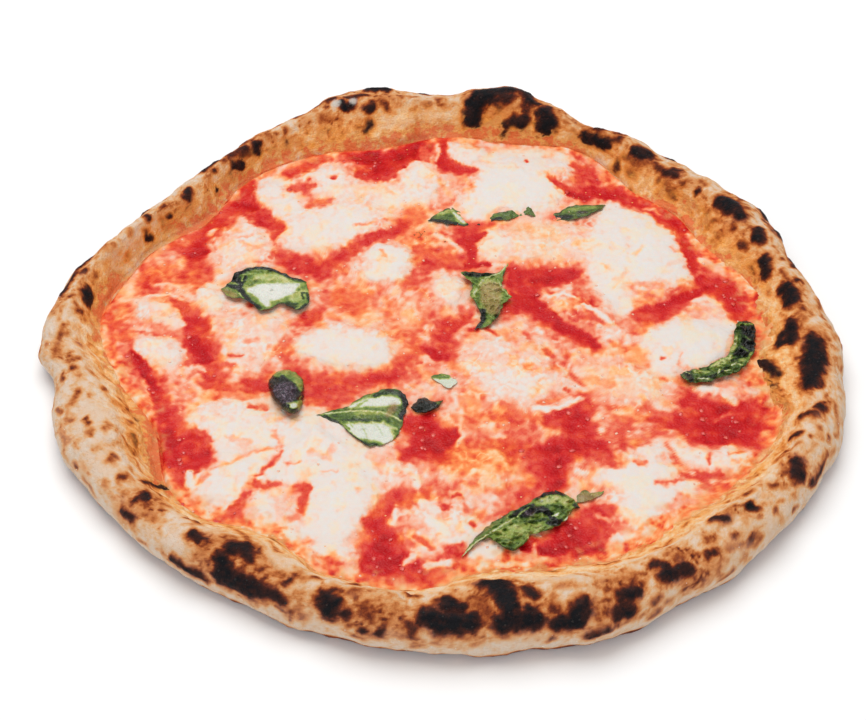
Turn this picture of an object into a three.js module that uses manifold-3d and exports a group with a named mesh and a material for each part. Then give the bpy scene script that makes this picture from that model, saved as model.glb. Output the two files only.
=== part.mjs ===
// Margherita pizza in the Neapolitan style: a thin baked disc with a high, blistered rim, a layer of
// crushed tomato, melted pools of mozzarella and a few wilted basil leaves.
//
// Units are millimetres and +Z is up. The underside is flat and lies on z = 0, with the origin under
// the middle of the outline. Angles run in degrees from +X towards +Y.

import * as THREE from 'three';
import { mergeVertices } from 'three/addons/utils/BufferGeometryUtils.js';
import Module from 'manifold-3d';

const wasm = await Module();
wasm.setup();

// ---- Driving dimensions ----

const GAP = 0.3; // clearance between pieces that lie on or beside each other
const FLOOR_THICKNESS = 3.4; // dough under the sauce
const RIM_RADIUS = 148; // outline of the rim before its puffs
const FOOT_RADIUS = 136; // circle where the rim rises from the floor, before its puffs
const RIM_HEIGHT = 17.5; // crest of the rim before its puffs
const CREST_SHARE = 0.52; // how far out across the rim its crest lies
const WAIST_SHARE = 0.46; // height of the rim's widest point, as a share of its crest
const UNDERCUT = 6.5; // how far the underside's edge lies inside the rim's widest point
const RIM_COLUMNS = 90; // steps round the rim
const INNER_STEPS = 5; // steps from the foot to the crest
const OUTER_STEPS = 5; // steps from the crest to the widest point
const LOWER_STEPS = 3; // steps from the widest point to the underside

const SAUCE_THICKNESS = 1.9;
const SAUCE_INSET = 1.6; // how far the sauce stops short of the rim's foot
const SAUCE_WAVE = 1.1; // how much that inset varies
const SAUCE_COLUMNS = 60;

const LEAF_THICKNESS = 0.8;
const LEAF_COLUMNS = 18;
const BLOCK_HEIGHT = 14; // tall enough to clear every topping
const CUT_MARGIN = 0.45; // room that a pool leaves round what already lies there

// Gas pockets that push the rim about. `at` and `spread` are degrees round the rim. `out`, `inward`
// and `rise` are how far the pocket moves the outline, the foot and the crest; below zero is a dent.
const PUFFS = [
  { at: 2, spread: 9, out: 2, inward: 2, rise: 1 },
  { at: 27, spread: 9, out: 6, inward: 9, rise: 1 },
  { at: 47, spread: 8, out: 3, inward: 8, rise: -1 },
  { at: 64, spread: 7, out: 0, inward: -4, rise: -3 },
  { at: 77, spread: 10, out: 12, inward: 2, rise: 3 },
  { at: 102, spread: 12, out: 12, inward: 6, rise: 4 },
  { at: 121, spread: 7, out: 3, inward: 0, rise: 0 },
  { at: 138, spread: 20, out: -3, inward: 3, rise: -2 },
  { at: 144, spread: 9, out: 0, inward: 8, rise: 1 },
  { at: 173, spread: 9, out: 10, inward: -4, rise: 0 },
  { at: 183, spread: 5, out: 9, inward: 0, rise: -2 },
  { at: 203, spread: 15, out: 9, inward: 14, rise: 2 },
  { at: 230, spread: 12, out: 4, inward: 0, rise: 0 },
  { at: 241, spread: 7, out: 0, inward: 7, rise: 1 },
  { at: 258, spread: 12, out: 3, inward: 0, rise: 0 },
  { at: 265, spread: 6, out: 0, inward: -4, rise: 0 },
  { at: 269, spread: 9, out: 2, inward: 0, rise: 1 },
  { at: 270, spread: 50, out: 0, inward: 9, rise: 3 },
  { at: 281, spread: 8, out: 0, inward: 4, rise: 1 },
  { at: 290, spread: 9, out: 6, inward: 0, rise: 1 },
  { at: 320, spread: 52, out: 13, inward: -6, rise: 0 },
  { at: 314, spread: 8, out: 1, inward: 4, rise: 1 },
  { at: 344, spread: 18, out: 6, inward: -3, rise: 1 },
];

// Waves that keep the rim's width and crest uneven between its puffs.
const RIPPLES = [
  { count: 7, phase: 40, size: 0.5 },
  { count: 13, phase: 110, size: 0.45 },
  { count: 23, phase: 205, size: 0.35 },
];

// Melted pools of mozzarella: middle, length and width, how far the length is turned from +X, and
// how high the pool stands above the sauce. A pool is cut back where an earlier one already lies.
const POOLS = [
  { at: [80, 54], size: [60, 56], turn: -35, height: 2.6 },
  { at: [33, 97], size: [54, 44], turn: 35, height: 2.4 },
  { at: [101, -4], size: [42, 35], turn: 10, height: 2.6 },
  { at: [-37, -2], size: [42, 30], turn: -8, height: 2.4 },
  { at: [-46, 72], size: [56, 37], turn: 14, height: 2.2 },
  { at: [-22, 47], size: [27, 29], turn: 0, height: 2.2 },
  { at: [76, -81], size: [54, 40], turn: 80, height: 2.2 },
  { at: [-38, -87], size: [44, 33], turn: 75, height: 2.2 },
  { at: [-76, -48], size: [46, 33], turn: -10, height: 2.0 },
  { at: [-79, -78], size: [40, 28], turn: 28, height: 2.0 },
  { at: [-47, -56], size: [34, 32], turn: 0, height: 1.9 },
  { at: [-80, 62], size: [42, 34], turn: 75, height: 2.0 },
  { at: [-10, 104], size: [36, 34], turn: 40, height: 1.9 },
  { at: [28, -18], size: [48, 44], turn: 0, height: 1.8 },
  { at: [-77, 3], size: [36, 32], turn: 0, height: 1.8 },
  { at: [-50, 103], size: [34, 19], turn: 12, height: 2.0 },
  { at: [-71, 93], size: [22, 19], turn: 0, height: 1.8 },
  { at: [13, 120], size: [25, 19], turn: -20, height: 2.0 },
  { at: [40, 62], size: [44, 26], turn: 6, height: 1.8 },
  { at: [3, 30], size: [24, 22], turn: 0, height: 1.9 },
  { at: [-114, -5], size: [26, 18], turn: -30, height: 1.9 },
  { at: [-113, 19], size: [26, 16], turn: 10, height: 1.6 },
  { at: [60, 20], size: [32, 25], turn: -30, height: 1.7 },
  { at: [0, -99], size: [40, 34], turn: 80, height: 1.7 },
  { at: [110, -67], size: [28, 19], turn: 0, height: 1.9 },
  { at: [78, -23], size: [30, 26], turn: 90, height: 1.6 },
  { at: [15, -69], size: [32, 26], turn: 20, height: 1.5 },
  { at: [-60, -95], size: [24, 22], turn: 0, height: 1.8 },
  { at: [-95, 25], size: [21, 14], turn: -60, height: 1.6 },
  { at: [115, -28], size: [25, 14], turn: -5, height: 1.5 },
  { at: [20, -112], size: [24, 15], turn: 0, height: 1.5 },
  { at: [-42, -112], size: [30, 15], turn: -8, height: 1.6 },
];

const POOL_RINGS = [0.5, 0.82, 1]; // rings of the pool's top, as shares of its outline
const POOL_STEP = 6; // length of a step round a pool's outline
const POOL_STEPS = [12, 24]; // fewest and most steps round a pool
const POOL_MARGIN = 2; // how far a pool stays inside the sauce's edge
const POOL_LOBES = [
  { count: 2, size: 0.05 },
  { count: 3, size: 0.075 },
  { count: 5, size: 0.055 },
];

// Basil leaves. `rib` is the middle line from stalk to tip, `width` the width across it, `taper` how
// pointed the ends are, `cup` how far the edges curl up, `dome` how far a rolled leaf bulges and
// `fold` how deep the crumples are.
const LEAVES = [
  { rib: [[-89, 28], [-71, 30], [-54, 23]], width: 26, taper: 0.4, cup: 2.6, dome: 0, fold: 0.5 },
  { rib: [[-62, -18], [-60, -29], [-56, -42]], width: 14, taper: 0.1, cup: 0, dome: 6.5, fold: 0.4 },
  { rib: [[-47, -43], [-29, -44], [-11, -41]], width: 29, taper: 0.7, cup: 2.2, dome: 0, fold: 0.7 },
  { rib: [[-10, -38], [-5, -37], [1, -36]], width: 9, taper: 0.2, cup: 0, dome: 1.8, fold: 0.3 },
  { rib: [[-2, -20], [3, -22], [8, -26]], width: 8, taper: 0.3, cup: 0.5, dome: 0, fold: 0.2 },
  { rib: [[16, 6], [20, 24], [28, 44]], width: 18, taper: 0.7, cup: 2.4, dome: 0.5, fold: 1.0 },
  { rib: [[-3, 76], [19, 74], [45, 76], [72, 85]], width: 11, taper: 0.5, cup: 1.2, dome: 0.6, fold: 0.6 },
  { rib: [[96, -21], [110, -20], [121, -8], [127, 10]], width: 9, taper: 0.3, cup: 1.0, dome: 1.6, fold: 0.8 },
  { rib: [[9, -115], [29, -102], [52, -87]], width: 20, taper: 0.6, cup: 1.2, dome: 2.2, fold: 1.2 },
  { rib: [[53, -84], [57, -82], [62, -79]], width: 6, taper: 0.4, cup: 0.8, dome: 0, fold: 0.3 },
];
const LEAF_RINGS = [0.36, 0.7, 1];
const FOLDS_PER_LEAF = 3; // crumples along one leaf

const MATERIALS = {
  crust: { color: 0xe0b27c, roughness: 0.85, metalness: 0 },
  sauce: { color: 0xd2453c, roughness: 0.35, metalness: 0 },
  cheese: { color: 0xece0d4, roughness: 0.4, metalness: 0 },
  basil: { color: 0x5d7a3a, roughness: 0.5, metalness: 0 },
};

const SAUCE_BOTTOM = FLOOR_THICKNESS + GAP;
const SAUCE_TOP = SAUCE_BOTTOM + SAUCE_THICKNESS;
const TOPPING_BOTTOM = SAUCE_TOP + GAP;

// ---- Helpers ----

const radians = THREE.MathUtils.degToRad;

// A repeatable stream of numbers between 0 and 1.
function randomStream(seed) {
  let state = seed;
  return () => {
    state = (Math.imul(state, 1664525) + 1013904223) >>> 0;
    return state / 2 ** 32;
  };
}

// A closed skin of rings round a pole on top and a pole below. pointAt(ring, column) gives the
// vertices of a ring; the columns run anticlockwise seen from above.
function closedSkin(topPole, bottomPole, ringCount, columnCount, pointAt) {
  const positions = [...topPole];
  for (let ring = 0; ring < ringCount; ring += 1) {
    for (let column = 0; column < columnCount; column += 1) {
      positions.push(...pointAt(ring, column));
    }
  }
  positions.push(...bottomPole);

  const vertex = (ring, column) => 1 + ring * columnCount + (column % columnCount);
  const last = 1 + ringCount * columnCount;
  const indices = [];
  for (let column = 0; column < columnCount; column += 1) {
    indices.push(0, vertex(0, column), vertex(0, column + 1));
    for (let ring = 0; ring < ringCount - 1; ring += 1) {
      const a = vertex(ring, column);
      const b = vertex(ring + 1, column);
      const c = vertex(ring + 1, column + 1);
      const d = vertex(ring, column + 1);
      indices.push(a, b, c, a, c, d);
    }
    indices.push(last, vertex(ringCount - 1, column + 1), vertex(ringCount - 1, column));
  }

  const geometry = new THREE.BufferGeometry();
  geometry.setAttribute('position', new THREE.Float32BufferAttribute(positions, 3));
  geometry.setIndex(indices);
  return geometry;
}

function toSolid(geometry) {
  const merged = mergeVertices(geometry);
  return new wasm.Manifold(new wasm.Mesh({
    numProp: 3,
    vertProperties: new Float32Array(merged.attributes.position.array),
    triVerts: new Uint32Array(merged.index.array),
  }));
}

function toGeometry(solid) {
  const { vertProperties, triVerts } = solid.getMesh();
  const geometry = new THREE.BufferGeometry();
  geometry.setAttribute('position', new THREE.BufferAttribute(vertProperties, 3));
  geometry.setIndex(new THREE.BufferAttribute(triVerts, 1));
  return geometry;
}

function namedMesh(name, geometry, finish) {
  const shaded = geometry.clone();
  shaded.computeVertexNormals();
  const mesh = new THREE.Mesh(shaded, new THREE.MeshStandardMaterial(MATERIALS[finish]));
  mesh.name = name;
  return mesh;
}

// ---- The crust ----

function bell(angle, puff) {
  const turn = ((angle - puff.at + 540) % 360) - 180;
  return Math.exp(-((turn / puff.spread) ** 2));
}

function ripple(angle) {
  return RIPPLES.reduce((sum, wave) => sum + wave.size * Math.sin(radians(wave.count * angle + wave.phase)), 0);
}

// The rim's outline, foot and crest at one angle.
function rimAt(angle) {
  const rim = { outline: RIM_RADIUS, foot: FOOT_RADIUS, crest: RIM_HEIGHT };
  for (const puff of PUFFS) {
    const share = bell(angle, puff);
    rim.outline += puff.out * share;
    rim.foot -= puff.inward * share;
    rim.crest += puff.rise * share;
  }
  rim.outline += ripple(angle);
  rim.crest += ripple(angle * 2);
  return rim;
}

// One quarter of an ellipse in the rim's section, from the first point to the last. `steep` says
// which end is upright; the first point is left out, because the stretch before it ends there.
function quarter(from, to, steps, steep) {
  const points = [];
  for (let step = 1; step <= steps; step += 1) {
    const turn = (step / steps) * (Math.PI / 2);
    const across = steep === 'first' ? 1 - Math.cos(turn) : Math.sin(turn);
    const up = steep === 'first' ? Math.sin(turn) : 1 - Math.cos(turn);
    points.push([
      THREE.MathUtils.lerp(from[0], to[0], across),
      THREE.MathUtils.lerp(from[1], to[1], up),
    ]);
  }
  return points;
}

// The crust's section at one angle, as [radius, height], from near the middle of the top, over the
// rim and back under it.
function crustSection(angle) {
  const { outline, foot, crest } = rimAt(angle);
  const top = [THREE.MathUtils.lerp(foot, outline, CREST_SHARE), crest];
  const waist = [outline, crest * WAIST_SHARE];
  const sole = [outline - UNDERCUT, 0];
  return [
    [foot * 0.35, FLOOR_THICKNESS],
    [foot * 0.75, FLOOR_THICKNESS],
    [foot, FLOOR_THICKNESS],
    ...quarter([foot, FLOOR_THICKNESS], top, INNER_STEPS, 'first'),
    ...quarter(top, waist, OUTER_STEPS, 'last'),
    ...quarter(waist, sole, LOWER_STEPS, 'first'),
    [foot * 0.5, 0],
  ];
}

function crustGeometry() {
  const sections = Array.from({ length: RIM_COLUMNS }, (_, column) => crustSection((column * 360) / RIM_COLUMNS));
  const pointAt = (ring, column) => {
    const turn = (column * 2 * Math.PI) / RIM_COLUMNS;
    const [radius, height] = sections[column][ring];
    return [radius * Math.cos(turn), radius * Math.sin(turn), height];
  };
  return closedSkin([0, 0, FLOOR_THICKNESS], [0, 0, 0], sections[0].length, RIM_COLUMNS, pointAt);
}

// ---- The tomato sauce ----

// How far out the sauce reaches at one angle.
function sauceEdge(angle) {
  const wave = Math.sin(radians(11 * angle + 30)) + Math.sin(radians(17 * angle + 200));
  return rimAt(angle).foot - SAUCE_INSET - SAUCE_WAVE * (1 + wave / 2);
}

function sauceGeometry() {
  const rings = [
    { share: 0.45, height: SAUCE_TOP },
    { share: 0.9, height: SAUCE_TOP },
    { share: 0.975, height: SAUCE_TOP - 0.25 },
    { share: 1, height: SAUCE_BOTTOM + 0.6 },
    { share: 1, height: SAUCE_BOTTOM },
  ];
  const pointAt = (ring, column) => {
    const angle = (column * 360) / SAUCE_COLUMNS;
    const radius = sauceEdge(angle) * rings[ring].share;
    return [radius * Math.cos(radians(angle)), radius * Math.sin(radians(angle)), rings[ring].height];
  };
  return closedSkin([0, 0, SAUCE_TOP], [0, 0, SAUCE_BOTTOM], rings.length, SAUCE_COLUMNS, pointAt);
}

// ---- Outlines of the toppings ----

// A pool's outline: an ellipse with a few soft lobes.
function poolOutline(pool, seed) {
  const random = randomStream(seed);
  const lobes = POOL_LOBES.map((lobe) => ({ ...lobe, phase: random() * 2 * Math.PI }));
  const [length, width] = pool.size;
  const steps = THREE.MathUtils.clamp(Math.round((Math.PI * (length + width)) / 2 / POOL_STEP), ...POOL_STEPS);
  const turned = radians(pool.turn);
  return Array.from({ length: steps }, (_, step) => {
    const turn = (step * 2 * Math.PI) / steps;
    const swell = lobes.reduce((sum, lobe) => sum + lobe.size * Math.sin(lobe.count * turn + lobe.phase), 1);
    const along = (length / 2) * swell * Math.cos(turn);
    const across = (width / 2) * swell * Math.sin(turn);
    return [
      pool.at[0] + along * Math.cos(turned) - across * Math.sin(turned),
      pool.at[1] + along * Math.sin(turned) + across * Math.cos(turned),
    ];
  });
}

// A place on a leaf: `along` and `across` run from -1 to 1 on its length and width.
function leafPlace(leaf, along, across) {
  const curve = new THREE.SplineCurve(leaf.rib.map(([x, y]) => new THREE.Vector2(x, y)));
  const share = (along + 1) / 2;
  const middle = curve.getPoint(share);
  const tangent = curve.getTangent(share);
  const halfWidth = (leaf.width / 2) * (1 - leaf.taper * along * along);
  return [
    middle.x - tangent.y * across * halfWidth,
    middle.y + tangent.x * across * halfWidth,
  ];
}

function leafOutline(leaf) {
  return Array.from({ length: LEAF_COLUMNS }, (_, column) => {
    const turn = (column * 2 * Math.PI) / LEAF_COLUMNS;
    return leafPlace(leaf, Math.cos(turn), Math.sin(turn));
  });
}

// The part of the sauce that a pool may lie on.
function sauceOutline() {
  return Array.from({ length: SAUCE_COLUMNS }, (_, column) => {
    const angle = (column * 360) / SAUCE_COLUMNS;
    const radius = sauceEdge(angle) - POOL_MARGIN;
    return [radius * Math.cos(radians(angle)), radius * Math.sin(radians(angle))];
  });
}

// An upright block round an outline, grown by `margin`, for cutting the toppings.
function block(outline, margin) {
  const middle = outline.reduce((sum, [x, y]) => [sum[0] + x / outline.length, sum[1] + y / outline.length], [0, 0]);
  const grown = outline.map(([x, y], index) => {
    const before = outline[(index + outline.length - 1) % outline.length];
    const after = outline[(index + 1) % outline.length];
    const normal = new THREE.Vector2(after[1] - before[1], before[0] - after[0]).normalize();
    return [x + normal.x * margin, y + normal.y * margin];
  });
  const heights = [BLOCK_HEIGHT, 0];
  const pointAt = (ring, column) => [...grown[column], heights[ring]];
  return toSolid(closedSkin([...middle, BLOCK_HEIGHT], [...middle, 0], heights.length, outline.length, pointAt));
}

// ---- Mozzarella and basil ----

function poolSolid(pool, outline) {
  const pointAt = (ring, column) => {
    const share = POOL_RINGS[ring];
    const [x, y] = outline[column];
    const height = TOPPING_BOTTOM + pool.height * (1 - share ** 3);
    return [
      THREE.MathUtils.lerp(pool.at[0], x, share),
      THREE.MathUtils.lerp(pool.at[1], y, share),
      height,
    ];
  };
  const top = [...pool.at, TOPPING_BOTTOM + pool.height];
  return toSolid(closedSkin(top, [...pool.at, TOPPING_BOTTOM], POOL_RINGS.length, outline.length, pointAt));
}

// The largest piece of a pool that is left on the field once the taken places are cut from it.
function cutBack(pool, field, taken) {
  const rest = taken.reduce((left, place) => left.subtract(place), pool.intersect(field));
  return rest.decompose().reduce((best, piece) => (piece.volume() > best.volume() ? piece : best));
}

function leafGeometry(leaf) {
  const topHeight = (along, across) => {
    const edge = Math.min(1, along * along + across * across);
    const crumple = leaf.fold * (0.5 + 0.5 * Math.sin(Math.PI * FOLDS_PER_LEAF * along + 2 * across));
    return leaf.cup * across * across * edge + leaf.dome * (1 - edge) + crumple * (1 - edge * edge);
  };
  const bottomHeight = (along, across) => leaf.cup * across * across * Math.min(1, along * along + across * across);
  const place = (along, across, height) => [...leafPlace(leaf, along, across), TOPPING_BOTTOM + height];
  const sheets = [
    ...LEAF_RINGS.map((share) => ({ share, height: (s, t) => topHeight(s, t) + LEAF_THICKNESS })),
    ...LEAF_RINGS.toReversed().map((share) => ({ share, height: bottomHeight })),
  ];
  const pointAt = (ring, column) => {
    const turn = (column * 2 * Math.PI) / LEAF_COLUMNS;
    const { share, height } = sheets[ring];
    const along = share * Math.cos(turn);
    const across = share * Math.sin(turn);
    return place(along, across, height(along, across));
  };
  const topPole = place(0, 0, topHeight(0, 0) + LEAF_THICKNESS);
  return closedSkin(topPole, place(0, 0, 0), sheets.length, LEAF_COLUMNS, pointAt);
}

// ---- Assembly ----

const pizza = new THREE.Group();
const crust = crustGeometry();
pizza.add(namedMesh('crust', crust, 'crust'));
pizza.add(namedMesh('tomato_sauce', sauceGeometry(), 'sauce'));

const taken = [];
LEAVES.forEach((leaf, index) => {
  pizza.add(namedMesh(`basil_${index + 1}`, leafGeometry(leaf), 'basil'));
  taken.push(block(leafOutline(leaf), CUT_MARGIN));
});
const field = block(sauceOutline(), 0);
POOLS.forEach((pool, index) => {
  const outline = poolOutline(pool, index + 1);
  const solid = cutBack(poolSolid(pool, outline), field, taken);
  pizza.add(namedMesh(`mozzarella_${index + 1}`, toGeometry(solid), 'cheese'));
  taken.push(block(outline, CUT_MARGIN));
});

// The puffs are uneven, so the pizza is moved until its outline is centred on the origin.
crust.computeBoundingBox();
const middle = crust.boundingBox.getCenter(new THREE.Vector3());
pizza.position.set(-middle.x, -middle.y, 0);

export default pizza;
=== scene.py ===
"""Margherita pizza in the Neapolitan style: blistered crust, tomato, melted mozzarella and basil."""

import functools
import itertools
import math

import bmesh
import bpy
import numpy as np
from bpy.props import FloatProperty, FloatVectorProperty, IntProperty, PointerProperty
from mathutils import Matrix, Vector
from mathutils.bvhtree import BVHTree


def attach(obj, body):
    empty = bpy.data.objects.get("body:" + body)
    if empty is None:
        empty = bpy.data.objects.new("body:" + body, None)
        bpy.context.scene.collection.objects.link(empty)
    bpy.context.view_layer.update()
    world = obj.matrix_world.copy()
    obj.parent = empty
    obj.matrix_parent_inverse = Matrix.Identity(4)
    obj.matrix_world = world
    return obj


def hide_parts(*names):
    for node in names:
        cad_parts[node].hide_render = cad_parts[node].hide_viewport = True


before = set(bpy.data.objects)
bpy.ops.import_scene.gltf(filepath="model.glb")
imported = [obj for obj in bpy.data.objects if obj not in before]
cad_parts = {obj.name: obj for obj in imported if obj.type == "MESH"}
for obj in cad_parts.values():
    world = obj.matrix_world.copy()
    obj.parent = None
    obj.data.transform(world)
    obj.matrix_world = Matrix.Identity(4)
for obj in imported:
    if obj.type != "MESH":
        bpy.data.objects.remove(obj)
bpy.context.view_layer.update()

bl_info = {
    "name": "Margherita pizza",
    "version": (1, 0, 0),
    "blender": (4, 5, 0),
    "location": "3D View > Sidebar > Pizza",
    "description": "Bakes a margherita pizza on its packed frame",
    "category": "Object",
}

# ---- Places and sizes, in millimetres ----

METRE = 1000.0
MIDDLE = np.array((-0.787, -0.235))  # where the middle that the toppings are laid out from lies
FLOOR = 3.4  # top of the dough under the sauce
CREST_SHARE = 0.52  # how far out across the rim its crest lies
WAIST_SHARE = 0.46  # height of the rim's widest point, as a share of its crest
UNDERCUT = 6.5  # how far the underside's edge lies inside the rim's widest point
RIM_COLUMNS = 960  # places round the crust
RIM_STEPS = 30  # rings from the sauce up to the crest, and again down to the widest point
SOLE_STEPS = 16  # rings from the widest point to the underside
# The dough's inner slope: an angle in degrees, and how far it runs in over the floor there.
DOUGH_SLOPE = (
    (0, 9.5), (6, 6), (15, 3), (30, 1), (60, 0), (100, 0), (132, -1), (148, -3.5), (160, -3), (170, 0),
    (180, 3), (195, 2), (204, -1), (211, -4), (217, -0.5), (221, 3), (226, 5), (233, 8), (240, 7), (248, 3),
    (255, 3), (263, 4.5), (270, 7), (278, 9.5), (290, 10), (300, 7), (308, 6), (315, 5), (330, 5), (337, 4),
    (343, 5), (348, 11), (353, 14.5), (357, 13),
)
READ_HEIGHT = 6.0  # height of the level that the scorches are laid out on
LEAF_HEIGHT = 7.0  # height of the level that the leaves are laid out on
TOPPING_BOTTOM = 5.9  # underside of the mozzarella

PITCH = 0.5  # step of the grid that the melted toppings are worked out on
REACH = 143.0  # half the width of that grid
SKY = 60.0  # a height over everything, to look down from
BARE_TURN = 351  # the angle, in degrees, where the tomato doesn't climb the dough
TOMATO_STEPS = 300  # places across the tomato, each way
POOL_BOTTOM = 4.4  # how deep the pools reach into the tomato
POOL_MARGIN = 12  # empty places round a pool while its edge is worked out
LEAF_COLUMNS = 120  # places along a leaf
LEAF_ROWS = 44  # places across a leaf
LEAF_THICKNESS = 0.34

CAMERA_TARGET = Vector((-0.0002, -0.0119, 0.0))
CAMERA_DISTANCE = 0.8
CAMERA_TILT = math.radians(45)
CAMERA_LENS = 82.68
CAMERA_SENSOR = 36
CAMERA_SHIFT = (-0.0069, 0.0139)
CAMERA_PLACE = CAMERA_TARGET + CAMERA_DISTANCE * Vector((0, -math.cos(CAMERA_TILT), math.sin(CAMERA_TILT)))

TABLE_REACH = 6.0  # half the width of the table, in metres
STUDIO_STRENGTH = 0.485  # of the even light from all sides, as a share of the stage's light
# The lamps: name, place and width in metres, and power.
LAMPS = (
    ("softbox above", (-0.15, 0.42, 1.45), 1.4, 14.2),
    ("softbox front", (-0.10, -1.4, 1.0), 1.2, 5.0),
)

# ---- What is painted on the toppings ----
# Each row is a stroke: its tone, the softness of its edge, how calm it is inside, and then its points, with
# three numbers for each: across, away and half width. A tone runs from 0, deep red, over 0.35, coral, and
# 0.65, peach, to 1, white.

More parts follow.
